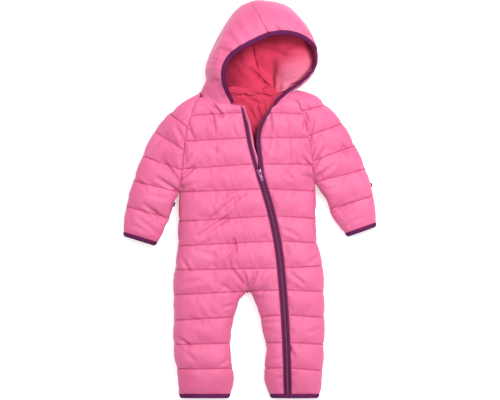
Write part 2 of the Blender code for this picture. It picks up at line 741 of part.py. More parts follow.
def slider_and_pull():
    right, left = zip_edges(np.array([SLIDER_Y + SLIDER_LENGTH / 2]))
    centre = np.array([[(right[0] + left[0]) / 2, SLIDER_Y + SLIDER_LENGTH / 2]])
    tape_top = front_height(centre)[0]
    run = across(ZIP_MIDDLE, np.array([0.0, SLIDER_Y]))
    frame = bpy.data.objects.new("slider_frame", None)
    PARTS.objects.link(frame)
    frame.location = (centre[0, 0] * MM, centre[0, 1] * MM, (tape_top + SEAM) * MM)
    frame.rotation_euler = (0, 0, np.arctan2(run[0] - run[1], SLIDER_Y))
    bottom = -TAPE_THICK - 2 * SEAM - PLATE / 2
    slider = block("zip_slider", (SLIDER_WIDTH, SLIDER_LENGTH, PLATE), (0, 0, PLATE / 2), PARTS,
                   frame, 0.5)
    slider.data.materials.append(SLIDER_PAINT)
    pieces = [
        block("lower_plate", (SLIDER_WIDTH, SLIDER_LENGTH, PLATE), (0, 0, bottom), HELPERS, frame,
              0.5),
        block("post", (POST_WIDTH, 3.0, PLATE - bottom), (0, SLIDER_LENGTH / 2 - 1.6,
              (PLATE + bottom) / 2), HELPERS, frame),
        block("crown_bar", (CROWN_WIDTH, 2 * CROWN_HALF, FOOT),
              (0, 0, BAR_Z + PULL_BAR + SEAM + FOOT / 2), HELPERS, frame),
    ]
    foot_top = BAR_Z + PULL_BAR + SEAM + FOOT / 2
    for name, sign in (("upper_foot", 1), ("lower_foot", -1)):
        pieces.append(block(name, (CROWN_WIDTH, FOOT, foot_top - PLATE / 2),
                            (0, sign * (CROWN_HALF - FOOT / 2), (foot_top + PLATE / 2) / 2),
                            HELPERS, frame))
    for piece in pieces:
        combine(slider, piece, "UNION")

    hinge = bpy.data.objects.new("pull_hinge", None)
    PARTS.objects.link(hinge)
    hinge.parent = frame
    hinge.location = (0, 0, BAR_Z * MM)
    pull = block("zip_pull", (PULL_WIDTH, PULL_LENGTH, PULL_THICK),
                 (0, PULL_BAR - PULL_LENGTH / 2, 0), PARTS, hinge, 0.4)
    pull.data.materials.append(SLIDER_PAINT)
    window = block("pull_window", (PULL_WIDTH - 2 * ARM, WINDOW - PULL_BAR, 2 * PULL_THICK),
                   (0, -(WINDOW + PULL_BAR) / 2, 0), HELPERS, hinge)
    combine(pull, window, "DIFFERENCE")


def sleeve_tab(name, x, y, turn, size=(2.6, 10.0, 1.4)):
    """A folded tab that stands out of a sleeve seam, at the height of the folded edge."""
    height = thickness(np.array([[x, y]], float))[0] * EDGE_SHARE
    tab = block(name, size, (0, 0, 0), PARTS, None, 0.4)
    tab.location = (x * MM, y * MM, height * MM)
    tab.rotation_euler = (0, 0, turn)
    tab.data.materials.append(TRIM)


# ---- Build ----

front_panels()
back_panel()
sleeve("sleeve_right", RIGHT_ARM_LINES, RIGHT_ARM_OUT, RIGHT_ARM_IN, RIGHT_RAGLAN)
sleeve("sleeve_left", LEFT_ARM_LINES, LEFT_ARM_OUT, LEFT_ARM_IN, LEFT_RAGLAN)
bands()
zip_tapes()
back_lining()
hood()
slider_and_pull()
sleeve_tab("sleeve_tab_right", -148.0, -9.0, -0.29)
sleeve_tab("sleeve_tab_left", 246.4, 30.0, 0.24)
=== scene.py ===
# %% [markdown]
# # A quilted baby snowsuit
#
# The suit lies flat on its back with its zip half open. Its shell is two thin nylon cloths with
# wadding between them, sewn through along level lines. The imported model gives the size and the
# collision. This file gives the looks: puffed channels, puckers, threads, teeth and cloth.

import json
from collections import namedtuple

import bpy
import numpy as np
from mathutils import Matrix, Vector

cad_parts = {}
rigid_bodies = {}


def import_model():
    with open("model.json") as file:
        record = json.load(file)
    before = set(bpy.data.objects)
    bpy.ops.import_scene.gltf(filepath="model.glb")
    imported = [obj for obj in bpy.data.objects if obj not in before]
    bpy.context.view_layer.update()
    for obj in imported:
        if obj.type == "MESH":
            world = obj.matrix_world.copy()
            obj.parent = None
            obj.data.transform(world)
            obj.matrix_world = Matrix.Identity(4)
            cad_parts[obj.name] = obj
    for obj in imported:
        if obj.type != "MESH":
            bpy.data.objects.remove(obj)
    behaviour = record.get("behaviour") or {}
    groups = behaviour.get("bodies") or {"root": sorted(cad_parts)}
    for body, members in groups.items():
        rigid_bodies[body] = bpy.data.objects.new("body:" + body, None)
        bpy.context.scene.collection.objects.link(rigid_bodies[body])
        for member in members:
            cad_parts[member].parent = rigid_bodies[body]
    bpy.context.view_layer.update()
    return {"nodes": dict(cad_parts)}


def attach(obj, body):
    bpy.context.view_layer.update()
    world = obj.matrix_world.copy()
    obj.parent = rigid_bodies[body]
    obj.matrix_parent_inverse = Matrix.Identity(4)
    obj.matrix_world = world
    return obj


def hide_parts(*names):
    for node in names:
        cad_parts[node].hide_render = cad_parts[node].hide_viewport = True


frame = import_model()
print("nodes:", len(frame["nodes"]))

# %% [markdown]
# ## Camera, floor and light
#
# A catalogue picture of flat clothes is taken from straight above with a long lens, so that both
# feet and the hood show at one scale. A camera set high with a narrow view does the same. The
# light is a key panel from beyond the wearer's left shoulder and a broad, weaker panel overhead,
# so that each puffed channel has a light side and a shaded side. The floor is a light table: it
# glows a little, which takes the shadows beside the suit away.

# %% Camera, floor and lights
MM = 0.001
VIEW_WIDTH = 1.0      # metres of floor that the picture takes in from side to side
CAMERA_HEIGHT = 12.0
SENSOR = 36.0
CLOTH_HEIGHT = 0.03   # the level at which the width is measured
FLOOR_SIZE = 30
FLOOR_BELOW = 0.0006
FLOOR_GLOW = 0.35


def add_camera():
    data = bpy.data.cameras.new("camera")
    data.sensor_width = SENSOR
    data.lens = SENSOR * (CAMERA_HEIGHT - CLOTH_HEIGHT) / VIEW_WIDTH
    camera = bpy.data.objects.new("camera", data)
    camera.location = (0, 0, CAMERA_HEIGHT)
    bpy.context.scene.collection.objects.link(camera)
    bpy.context.scene.camera = camera
    return camera


def add_panel_light(name, place, size, power, colour):
    data = bpy.data.lights.new(name, "AREA")
    data.shape = "DISK"
    data.size = size
    data.energy = power
    data.color = colour
    lamp = bpy.data.objects.new(name, data)
    lamp.location = place
    lamp.rotation_euler = (-Vector(place)).to_track_quat("-Z", "Y").to_euler()
    bpy.context.scene.collection.objects.link(lamp)


def shader_of(material):
    return material.node_tree.nodes["Principled BSDF"]


def new_material(name, roughness):
    material = bpy.data.materials.new(name)
    material.use_nodes = True
    shader_of(material).inputs["Roughness"].default_value = roughness
    return material


def add_floor():
    bpy.ops.mesh.primitive_plane_add(size=FLOOR_SIZE)
    floor = bpy.context.object
    floor.name = "floor"
    floor.location.z = -FLOOR_BELOW
    paper = new_material("floor_paper", 0.9)
    shader_of(paper).inputs["Base Color"].default_value = (0.93, 0.93, 0.93, 1)
    shader_of(paper).inputs["Emission Color"].default_value = (1, 1, 1, 1)
    shader_of(paper).inputs["Emission Strength"].default_value = FLOOR_GLOW
    floor.data.materials.append(paper)


def set_sky(strength):
    sky = bpy.data.worlds.new("sky")
    sky.use_nodes = True
    background = sky.node_tree.nodes["Background"]
    background.inputs["Color"].default_value = (1, 1, 1, 1)
    background.inputs["Strength"].default_value = strength
    bpy.context.scene.world = sky


bpy.context.scene.view_settings.view_transform = "Standard"
camera = add_camera()
add_floor()
set_sky(strength=0.66)
add_panel_light("key", (0.8, 1.0, 2.4), size=0.9, power=92, colour=(1.0, 0.99, 0.98))
add_panel_light("overhead", (-0.2, 0.0, 2.8), size=2.4, power=24, colour=(1.0, 1.0, 1.0))
print("lens", round(camera.data.lens), "mm")

# %% [markdown]
# ## The cut, as tables
#
# Each edge of the suit as it lies is a short table: height up the suit, and distance from the
# middle. The wearer's right is at -X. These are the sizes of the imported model, in millimetres. A
# smooth curve through a table gives as many points as a fine mesh needs.

# %% Edges, stitched lines and thicknesses
At = namedtuple("At", "y x")
HEM_Y = -388.5
RIGHT_SIDE = (At(HEM_Y, -142), At(-351, -144), At(-319, -149), At(-235, -152), At(-150, -151),
              At(-97, -144), At(-40, -142.5), At(16, -141))
LEFT_SIDE = (At(HEM_Y, 139.5), At(-351, 144), At(-300, 147), At(-178, 147), At(-130, 144),
             At(-83, 133), At(-48, 131.5), At(0, 131), At(35.7, 128.6))
RIGHT_RAGLAN = (At(16, -141), At(81, -134), At(145, -124.5), At(173, -116), At(193, -108),
                At(206, -101))
LEFT_RAGLAN = (At(35.7, 128.6), At(86, 124), At(130, 116), At(178, 103), At(198, 92), At(210, 77))
RIGHT_INSEAM = (At(HEM_Y, -38.6), At(-367, -34.5), At(-290, -40), At(-230, -31), At(-198, -19.4),
                At(-180, -3.6))
LEFT_INSEAM = (At(HEM_Y, 38.8), At(-367, 32), At(-290, 32), At(-242, 22.5), At(-198, 8.6),
               At(-180, -3.6))
RIGHT_ARM_OUT = (At(-64, -253), At(-32, -250.6), At(43, -231.6), At(94, -212), At(140, -188.4),
                 At(180, -153.4), At(217, -96.6))
RIGHT_ARM_IN = (At(-85, -185.2), At(-41, -163), At(2, -148), At(16, -141))
LEFT_ARM_OUT = (At(-44, 252.6), At(0, 248), At(52, 235), At(113, 208), At(170, 171),
                At(191, 148.5), At(209, 126.6), At(221, 90))
LEFT_ARM_IN = (At(-68, 191), At(-32, 165), At(0, 152), At(35.7, 128.6))

ZIP_MIDDLE = (At(HEM_Y, 75.6), At(-287, 72.4), At(-185, 66), At(-83, 54.8), At(0, 35.6), At(50, 20))
RIGHT_OPEN = (At(50, 12.8), At(84, 3), At(111, -4), At(148, -10.7), At(190, -18.7))
LEFT_OPEN = (At(50, 27.2), At(66, 26), At(93, 23), At(121, 20.5), At(144, 24.1), At(173, 37.7),
             At(192, 48))
TAPE = 7.0            # how much of a zip tape's width shows
SLIDER_Y = 50.0
SEAM = 0.5            # between a tape's outer edge and its panel

Line = namedtuple("Line", "right zip left")
BODY_LINES = (
    Line(HEM_Y, HEM_Y, HEM_Y), Line(-338, -336, -342), Line(-289, -285, -289),
    Line(-241, -230, -235), Line(-190, -180, -183), Line(-140, -136, -132),
    Line(-92, -82, -86), Line(-43, -32, -37), Line(16, 22, 18), Line(62, 72, 71),
    Line(118, 124, 125), Line(169, 175, 172), Line(206, 190, 210),
)
CROTCH_LINE = 4
CROTCH = (-3.6, -181.0)
ARMPIT_LINE = 8
INSEAM_SHARE = 0.7    # a line's height at the inseam, from its height at the side to the zip's
LEFT_NECK_DROP = 6    # how far the left front's corner falls at the zip
NECK_DIP = 1.5        # a larger number makes the right front's neck edge fall sooner
BACK_NECK_RISE = 6.0
FRONT_MIDDLE_SHARE = 0.70   # where the column over the crotch runs, as a share of the panel
BACK_MIDDLE_SHARE = 0.50

Ring = namedtuple("Ring", "outer inner")
RIGHT_ARM_LINES = (Ring(217, 206), Ring(173, 145), Ring(137, 100), Ring(88, 60), Ring(38, 16),
                   Ring(-13, -36), Ring(-64, -85))
LEFT_ARM_LINES = (Ring(220, 211), Ring(190, 178), Ring(153, 128), Ring(109, 78), Ring(62, 35.7),
                  Ring(8, -18), Ring(-45, -67))
ARMPIT_RING = 4

BODY_THICK, LEG_THICK, HEM_THICK = 46.0, 42.0, 29.0
SLEEVE_THICK, CUFF_THICK = 36.0, 27.0
LEG_TO_BODY, CUFF_TO_SLEEVE = (-260, -120), (-42, 20)   # heights over which the suit thickens
BODY_TO_SLEEVE = (130, 185)   # distances from the middle over which the body turns into sleeve
HEM_TAPER = 60
EDGE_SHARE = 0.4      # a folded edge lies at this share of the thickness
FRONT_ROUND, BACK_ROUND = 44.0, 24.0   # how far the rounding reaches in from a folded edge

STEPS = 13            # rows of the fine mesh in one channel
PUFF = 3.0            # how far a channel stands proud before it is blown up
GROOVE = 2.4          # how far a line underneath is lifted off the floor
EDGE_PUFF = 0.4       # less of it at a folded edge, where both sides share the padding
CLOSER = 0.6          # how much closer the rows are beside a stitched line
FLATNESS = 0.4        # a smaller number makes the middle of a channel flatter
print("channels down the body:", len(BODY_LINES) - 1)

# %% [markdown]
# ## The form
#
# Laid flat, the suit is a low cushion: high in the middle, round at every folded edge. The height
# at a point depends on how far it is from the nearest folded edge. This one rule serves body, legs
# and sleeves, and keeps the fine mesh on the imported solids.

# %% Curves in plan and heights over the floor


def across(edge, y):
    """Distance from the middle at height y: a smooth curve through the table's points."""
    ys = np.array([p.y for p in edge], float)
    xs = np.array([p.x for p in edge], float)
    slopes = np.gradient(xs, ys)
    inside = np.clip(np.asarray(y, float), ys[0], ys[-1])
    i = np.clip(np.searchsorted(ys, inside) - 1, 0, len(ys) - 2)
    span = ys[i + 1] - ys[i]
    t = (inside - ys[i]) / span
    start = (1 + 2 * t) * (1 - t) ** 2 * xs[i] + t * (1 - t) ** 2 * span * slopes[i]
    end = t * t * (3 - 2 * t) * xs[i + 1] - t * t * (1 - t) * span * slopes[i + 1]
    return start + end


def traced(edge, spacing=4.0):
    first, last = edge[0].y, edge[-1].y
    ys = np.linspace(first, last, max(3, int(abs(last - first) / spacing)))
    return np.column_stack([across(edge, ys), ys])


def run_on(points, reach=25.0):
    """A line of points, carried straight on at both ends."""
    ahead = points[-1] - points[-2]
    behind = points[0] - points[1]
    return np.vstack([points[0] + behind / np.linalg.norm(behind) * reach, points,
                      points[-1] + ahead / np.linalg.norm(ahead) * reach])


def joined(lower, upper):
    return run_on(np.vstack([traced(lower), traced(upper)[::-1][1:]]))


FOLDS = (run_on(traced(RIGHT_ARM_OUT))[:-1], joined(RIGHT_ARM_IN, RIGHT_SIDE),
         joined(RIGHT_INSEAM, LEFT_INSEAM), joined(LEFT_ARM_IN, LEFT_SIDE),
         run_on(traced(LEFT_ARM_OUT))[:-1])


def gap_to(line, xy):
    """Distance in plan from each point to a line of points."""
    a, b = line[:-1], line[1:]
    ab = b - a
    t = np.einsum("pse,se->ps", xy[:, None] - a, ab) / np.einsum("se,se->s", ab, ab)
    near = a + np.clip(t, 0, 1)[..., None] * ab
    return np.linalg.norm(xy[:, None] - near, axis=2).min(axis=1)


def ramp(value, low, high):
    """0 below low, 1 above high, and smooth between them."""
    t = np.clip((value - low) / (high - low), 0, 1)
    return t * t * (3 - 2 * t)


def thickness(xy):
    x, y = xy[:, 0], xy[:, 1]
    leg = LEG_THICK + (BODY_THICK - LEG_THICK) * ramp(y, *LEG_TO_BODY)
    leg = HEM_THICK + (leg - HEM_THICK) * ramp(y, HEM_Y, HEM_Y + HEM_TAPER)
    sleeve = CUFF_THICK + (SLEEVE_THICK - CUFF_THICK) * ramp(y, *CUFF_TO_SLEEVE)
    return leg + (sleeve - leg) * ramp(np.abs(x), *BODY_TO_SLEEVE)


def fullness(xy, reach):
    """0 at a folded edge, rising on a quarter circle to 1 where the padding has its full height."""
    full = np.ones(len(xy))
    for fold in FOLDS:
        away = np.clip(gap_to(fold, xy) / reach, 0, 1)
        full *= np.sqrt(np.clip(1 - (1 - away) ** 2, 0, 1))
    return full


def front_height(xy):
    return thickness(xy) * (EDGE_SHARE + (1 - EDGE_SHARE) * fullness(xy, FRONT_ROUND))


def back_height(xy):
    return thickness(xy) * EDGE_SHARE * (1 - fullness(xy, BACK_ROUND))


def on_form(plan, height, folded):
    """Lifts a grid in plan to the form; points marked folded lie where front and back meet."""
    flat = plan.reshape(-1, 2).astype(float)
    z = height(flat)
    edge = folded.reshape(-1)
    z[edge] = thickness(flat)[edge] * EDGE_SHARE
    return np.column_stack([flat, z]).reshape(*plan.shape[:-1], 3)


print("height at the chest:", front_height(np.array([[0.0, 0.0]])).round(1), "mm")

# %% [markdown]
# ## A fine mesh for each panel
#
# A panel is a grid: rows run across the suit between two stitched lines, columns run up it. With
# the grids of front and back welded along the folded edges, the cloth turns round the edge as one
# sheet. Each point also keeps what sewing did to it: its place between two stitched lines, and
# whether it is sewn down.

# %% Grids for the body
Sheet = namedtuple("Sheet", "points puff sewn line")


EVEN, CROWDED = 0.45, 0.55   # columns: how evenly spaced, and how crowded at a folded edge


def eased(count, near_start, near_end):
    """Shares of the way across for count columns, closer together near the folded ends."""
    t = np.linspace(0, 1, count + 1)
    if near_start and near_end:
        return EVEN * t + CROWDED * (1 - np.cos(np.pi * t)) / 2
    if near_start:
        return EVEN * t + CROWDED * (1 - np.cos(np.pi * t / 2))
    if near_end:
        return EVEN * t + CROWDED * np.sin(np.pi * t / 2)
    return t


def drawn_in(rows):
    """Rows counted in channels, moved closer together near the stitched lines."""
    channel, share = np.divmod(rows, 1)
    return channel + (1 - CLOSER) * share + CLOSER * (1 - np.cos(np.pi * share)) / 2


def between_lines(rows):
    """0 on a stitched line, rising quickly to 1 in the middle of a channel."""
    share = drawn_in(np.asarray(rows) / STEPS) % 1
    return np.sin(np.pi * share) ** FLATNESS


def line_heights():
    """Rows counted in channels, and their heights at the right side, the zip and the left side."""
    lines = np.array(BODY_LINES, float)
    rows = np.linspace(0, len(lines) - 1, (len(lines) - 1) * STEPS + 1)
    at = drawn_in(rows)
    return rows, [np.interp(at, np.arange(len(lines)), lines[:, i]) for i in range(3)]


ROWS, (RIGHT_Y, ZIP_Y, LEFT_Y) = line_heights()
INNER_Y = RIGHT_Y + INSEAM_SHARE * (ZIP_Y - RIGHT_Y)
CROTCH_ROW = CROTCH_LINE * STEPS
RIGHT_ARMPIT_ROW = ARMPIT_LINE * STEPS
LEFT_ARMPIT_ROW = RIGHT_ARMPIT_ROW + STEPS // 3


def zip_edges(y):
    middle = across(ZIP_MIDDLE, y)
    half = TAPE + SEAM
    right = np.where(y < SLIDER_Y, middle - half, across(RIGHT_OPEN, y))
    left = np.where(y < SLIDER_Y, middle + half, across(LEFT_OPEN, y))
    return right, left


def side_x(side, raglan, armpit_row, heights):
    rows = np.arange(len(heights))
    return np.where(rows <= armpit_row, across(side, heights), across(raglan, heights))


RIGHT_X = side_x(RIGHT_SIDE, RIGHT_RAGLAN, RIGHT_ARMPIT_ROW, RIGHT_Y)
LEFT_X = side_x(LEFT_SIDE, LEFT_RAGLAN, LEFT_ARMPIT_ROW, LEFT_Y)
NECK_WEIGHT = np.clip(ROWS - (len(BODY_LINES) - 2), 0, 1)
ZIP_LEFT_Y = ZIP_Y - LEFT_NECK_DROP * NECK_WEIGHT
ZIP_RIGHT_X = zip_edges(ZIP_Y)[0]
ZIP_LEFT_X = zip_edges(ZIP_LEFT_Y)[1]
ALL_ROWS = np.arange(len(ROWS))
NOWHERE = np.zeros(len(ROWS), bool)

Edge = namedtuple("Edge", "x y folded sewn")
RIGHT_EDGE = Edge(RIGHT_X, RIGHT_Y, ALL_ROWS <= RIGHT_ARMPIT_ROW, ALL_ROWS >= RIGHT_ARMPIT_ROW)
LEFT_EDGE = Edge(LEFT_X, LEFT_Y, ALL_ROWS <= LEFT_ARMPIT_ROW, ALL_ROWS >= LEFT_ARMPIT_ROW)
RIGHT_ZIP_EDGE = Edge(ZIP_RIGHT_X, ZIP_Y, NOWHERE, ~NOWHERE)
LEFT_ZIP_EDGE = Edge(ZIP_LEFT_X, ZIP_LEFT_Y, NOWHERE, ~NOWHERE)


def strip(start, end, shares):
    """A grid in plan between two edges."""
    starts = np.column_stack([start.x, start.y])[:, None]
    ends = np.column_stack([end.x, end.y])[:, None]
    return starts + (ends - starts) * shares[None, :, None]


def dip_neck(plan):
    """The right front's neck edge falls quickly from the shoulder, then runs level to the zip."""
    share = (plan[..., 0] - RIGHT_X[:, None]) / (ZIP_RIGHT_X - RIGHT_X)[:, None]
    right_front = share < 1.0001
    share = np.clip(share, 0, 1)
    fall = (NECK_WEIGHT * (RIGHT_Y - ZIP_Y))[:, None] * ((1 - share) - (1 - share) ** NECK_DIP)
    plan = plan.copy()
    plan[..., 1] -= np.where(right_front, fall, 0)
    return plan


def raise_neck(plan):
    """The back's neck edge curves up under the hood."""
    share = (plan[..., 0] - RIGHT_X[:, None]) / (LEFT_X - RIGHT_X)[:, None]
    arch = np.sin(np.pi * np.clip(share, 0, 1)) ** 0.5
    plan = plan.copy()
    plan[..., 1] += NECK_WEIGHT[:, None] * BACK_NECK_RISE * arch
    return plan


def body_grid(start, end, shares, height):
    """A front or back panel between two edges, as a grid on the form."""
    plan = strip(start, end, shares)
    folded = np.zeros(plan.shape[:2], bool)
    folded[:, 0], folded[:, -1] = start.folded, end.folded
    if height is front_height:
        plan = dip_neck(plan)
    else:
        plan = raise_neck(plan)
    points = on_form(plan, height, folded)
    puff = np.repeat(between_lines(ALL_ROWS)[:, None], plan.shape[1], axis=1)
    sewn = np.zeros(plan.shape[:2], bool)
    sewn[ALL_ROWS % STEPS == 0] = True
    for column, edge in ((0, start), (-1, end)):
        sewn[:, column] |= edge.sewn
        puff[:, column] *= ~edge.sewn * np.where(edge.folded, EDGE_PUFF, 1)
    line = np.repeat((ALL_ROWS % STEPS == 0)[:, None], plan.shape[1], axis=1)
    return Sheet(points, puff, sewn, line)


def middle_edge(inseam, share, end):
    """A leg's inner edge up to the crotch, and above it the column that joins the two legs."""
    below = ALL_ROWS < CROTCH_ROW
    x = np.where(below, across(inseam, INNER_Y), RIGHT_X + share * (end.x - RIGHT_X))
    y = np.where(below, INNER_Y, RIGHT_Y + share * (end.y - RIGHT_Y))
    x[CROTCH_ROW], y[CROTCH_ROW] = CROTCH
    return Edge(x, y, ALL_ROWS <= CROTCH_ROW, NOWHERE)


def two_legged(end, share, height, leg_columns, inner_columns, round_end):
    """Two grids side by side that share a column above the crotch: one for each leg."""
    return (body_grid(RIGHT_EDGE, middle_edge(RIGHT_INSEAM, share, end),
                      eased(leg_columns, True, True), height),
            body_grid(middle_edge(LEFT_INSEAM, share, end), end,
                      eased(inner_columns, True, round_end), height))


front_main = two_legged(RIGHT_ZIP_EDGE, FRONT_MIDDLE_SHARE, front_height, 46, 20, False)
front_side = body_grid(LEFT_ZIP_EDGE, LEFT_EDGE, eased(27, False, True), front_height)
back = two_legged(LEFT_EDGE, BACK_MIDDLE_SHARE, back_height, 30, 30, True)
print("front grid", front_main[0].points.shape, "back grid", back[0].points.shape)

# %% [markdown]
# ## Sleeves as grids
#
# A raglan sleeve is one tube with a long cap that runs up to the neck. Below the armpit both its
# edges are folded. Above it, the inner edge is the raglan seam, so it is sewn to the body, and it
# is tucked a little under the body's edge, so that no gap opens between them.

# %% Grids for the sleeves
TUCK = 1.6            # how far a sleeve's raglan edge runs under the body's, in millimetres
TUCK_SLOPE = 0.6


def unit(vectors):
    length = np.linalg.norm(vectors, axis=-1, keepdims=True)
    return vectors / np.where(length < 1e-12, 1, length)


def sleeve_grids(lines, outer, underarm, raglan, columns=34):
    """Front and back of one sleeve: rows run from the outer edge to the inner one."""
    rings = np.array(lines, float)
    rows = np.arange((len(rings) - 1) * STEPS + 1)
    outer_y, inner_y = (np.interp(drawn_in(rows / STEPS), np.arange(len(rings)), rings[:, i])
                        for i in range(2))
    tube = rows >= ARMPIT_RING * STEPS
    inner_x = np.where(tube, across(underarm, inner_y), across(raglan, inner_y))
    start = Edge(across(outer, outer_y), outer_y, rows >= 0, rows < 0)
    end = Edge(inner_x, inner_y, tube, ~tube)
    plan = strip(start, end, eased(columns, True, True))
    folded = np.zeros(plan.shape[:2], bool)
    folded[:, 0], folded[:, -1] = start.folded, end.folded
    puff = np.repeat(between_lines(rows)[:, None], plan.shape[1], axis=1)
    puff[:, -1] *= tube
    puff[:, [0, -1]] *= EDGE_PUFF
    puff[:, [1, -2]] *= (1 + EDGE_PUFF) / 2
    sewn = np.repeat((rows % STEPS == 0)[:, None], plan.shape[1], axis=1)
    line = sewn.copy()
    sewn[:, -1] |= ~tube
    tucked = unit(plan[:, -1] - plan[:, -2]) * (TUCK * ramp(rows, 0, 3) * ~tube)[:, None]
    sheets = []
    for height, down in ((front_height, -1), (back_height, 1)):
        points = on_form(plan, height, folded)
        points[:, -1, :2] += tucked
        points[:, -1, 2] += down * TUCK_SLOPE * np.linalg.norm(tucked, axis=1)
        sheets.append(Sheet(points, puff, sewn, line))
    return sheets


sleeve_right = sleeve_grids(RIGHT_ARM_LINES, RIGHT_ARM_OUT, RIGHT_ARM_IN, RIGHT_RAGLAN)
sleeve_left = sleeve_grids(LEFT_ARM_LINES, LEFT_ARM_OUT, LEFT_ARM_IN, LEFT_RAGLAN)
print("sleeve grid", sleeve_right[0].points.shape)

# %% [markdown]
# ## The hood
#
# The hood is two padded halves joined over the crown. It stands up by itself, so it is drawn as
# sections: each starts at the bound rim, rises over the outline, turns under and runs in to the
# middle of the back. Curves through the table's columns give as many sections as the cloth needs.

# %% Hood sections
Section = namedtuple("Section", "rim_x rim_y rim_z out_x out_y band")
HOOD = (
    Section(-31.5, 195, 46, -101, 206, 6.0), Section(-42, 218, 62, -92, 240, 8.5),
    Section(-48.5, 240, 78, -88, 264, 8.5), Section(-48, 262, 88, -80, 286, 8.5),
    Section(-37, 283, 94, -67, 312, 8.5), Section(-18, 298, 97, -51, 344, 8.5),
    Section(8, 312, 97, -29, 377, 8.5), Section(38, 325, 96, 0, 397, 8.5),
    Section(66, 329, 94, 40, 397, 8.5), Section(90, 326, 88, 76, 386, 8.5),
    Section(110, 317, 80, 104, 354, 8.5), Section(124, 304, 72, 124, 324, 8.5),
    Section(130.5, 288, 66, 135.5, 292, 8.5), Section(129, 268, 60, 134, 271, 8.5),
    Section(117, 249, 56, 121, 248, 8.5), Section(98, 234, 53, 104.5, 231, 6.0),
    Section(76, 221, 50, 92, 223, 6.0), Section(48, 197, 46, 86, 219, 6.0),
)
CROWN = 7
PER_SECTION = 6
OVER_STEPS, UNDER_STEPS, FOOT_STEPS = 22, 7, 9
NECK_BACK, CROWN_BACK, HOOD_HEART = (42.0, 212.0), (6.0, 362.0), (22.0, 292.0)
SEAM_BOW = 15.0       # how far the seam down the back bows towards the wearer's right
HOOD_EDGE_SHARE = 0.42
HOOD_UNDER = 26.0     # how far the hood turns in under itself
NECK_SECTIONS = 3
RIGHT_NECK_SAG, LEFT_NECK_SAG = 14.0, 11.0
SAG_SECTIONS = 1.6    # the neck edge sags over this many sections at each end
OVER_FRONT = 1.2      # how high the sagging edge lies over the front, in millimetres


def smooth_rows(table, at):
    """The table's values at fractional rows, on a smooth curve through all of them."""
    values = np.array(table, float)
    slopes = np.gradient(values, axis=0)
    i = np.clip(np.floor(at).astype(int), 0, len(values) - 2)
    t = (at - i)[:, None]
    return ((1 + 2 * t) * (1 - t) ** 2 * values[i] + t * (1 - t) ** 2 * slopes[i]
            + t * t * (3 - 2 * t) * values[i + 1] - t * t * (1 - t) * slopes[i + 1])


def hood_points(at):
    """The hood's sections at fractional numbers: from the rim over, down, under and to the seam."""
    rows = smooth_rows(HOOD, at)
    rim, rim_z, out, band = rows[:, :2], rows[:, 2], rows[:, 3:5], rows[:, 5]
    last = len(HOOD) - 1
    share = np.where(at <= CROWN, at / CROWN, (last - at) / (last - CROWN))[:, None]
    along = np.gradient(rim, axis=0)
    outward = unit(np.column_stack([-along[:, 1], along[:, 0]]))
    edge_z = HOOD_EDGE_SHARE * rim_z
    reach = np.minimum(band, np.linalg.norm(out - rim, axis=1) / 2)
    bound = rim + outward * reach[:, None]
    bound_z = rim_z - np.sqrt(band ** 2 - reach ** 2)
    neck, crown, heart = (np.array(p) for p in (NECK_BACK, CROWN_BACK, HOOD_HEART))
    from_end = np.clip(np.minimum(at, last - at) / NECK_SECTIONS, 0, 1)[:, None]
    inward = unit(neck + (heart - neck) * from_end - out)
    columns = [np.column_stack([rim, rim_z])]
    right_sag = RIGHT_NECK_SAG * np.clip(1 - at / SAG_SECTIONS, 0, 1) ** 1.5
    left_sag = LEFT_NECK_SAG * np.clip(1 - (last - at) / SAG_SECTIONS, 0, 1) ** 1.5
    sag = (right_sag + left_sag)[:, None] * np.array([0, -1])
    for t in np.sin(np.linspace(0, np.pi / 2, OVER_STEPS + 1)):
        z = edge_z + (bound_z - edge_z) * (1 - t ** 2.2) ** 0.6
        spot = bound + (out - bound) * t + sag * np.sin(np.pi * t) ** 0.6
        hung = ramp(right_sag + left_sag, 1, 8) * ramp(t, 0, 0.3) * (1 - ramp(t, 0.8, 1))
        z += hung * np.maximum(front_height(spot) + OVER_FRONT - z, 0)
        columns.append(np.column_stack([spot, z]))
    for angle in np.linspace(0, np.pi / 2, UNDER_STEPS + 1)[1:]:
        spot = out + inward * HOOD_UNDER * (1 - np.cos(angle))
        columns.append(np.column_stack([spot, edge_z * (1 - np.sin(angle))]))
    foot = columns[-1][:, :2]
    seam_point = neck + (crown - neck) * share - np.array([SEAM_BOW, 0]) * np.sin(np.pi * share)
    for t in np.linspace(0, 1, FOOT_STEPS + 1)[1:]:
        columns.append(np.column_stack([foot + (seam_point - foot) * t, 0 * rim_z]))
    return np.stack(columns, axis=1)


HOOD_AT = np.linspace(0, len(HOOD) - 1, (len(HOOD) - 1) * PER_SECTION + 1)
HOOD_GRID = hood_points(HOOD_AT)
CROWN_ROW = CROWN * PER_SECTION


def sewn_round(points):
    """A grid of points as a sheet that is sewn all round its edge and has no lines."""
    shape = points.shape[:2]
    sewn = np.zeros(shape, bool)
    sewn[[0, -1]] = True
    sewn[:, [0, -1]] = True
    return Sheet(points, np.zeros(shape), sewn, np.zeros(shape, bool))


hood_right = sewn_round(HOOD_GRID[:CROWN_ROW + 1, 1:])
hood_left = sewn_round(HOOD_GRID[CROWN_ROW:, 1:])
print("hood grid", HOOD_GRID.shape)

# %% [markdown]
# ## Weld, puff and blow up
#
# Real quilting is two cloths sewn through wadding. The wadding pushes the outer cloth out between
# the lines, the thread holds it in, and because each line takes up length, the cloth between the
# lines has too much of it and breaks into small puckers. Cloth simulation gives just that:
# pressure for the wadding, pinned points for the thread, and a rest size a few percent too large.

# %% Weld grids into one shell
Shell = namedtuple("Shell", "points faces owners puff sewn line index")


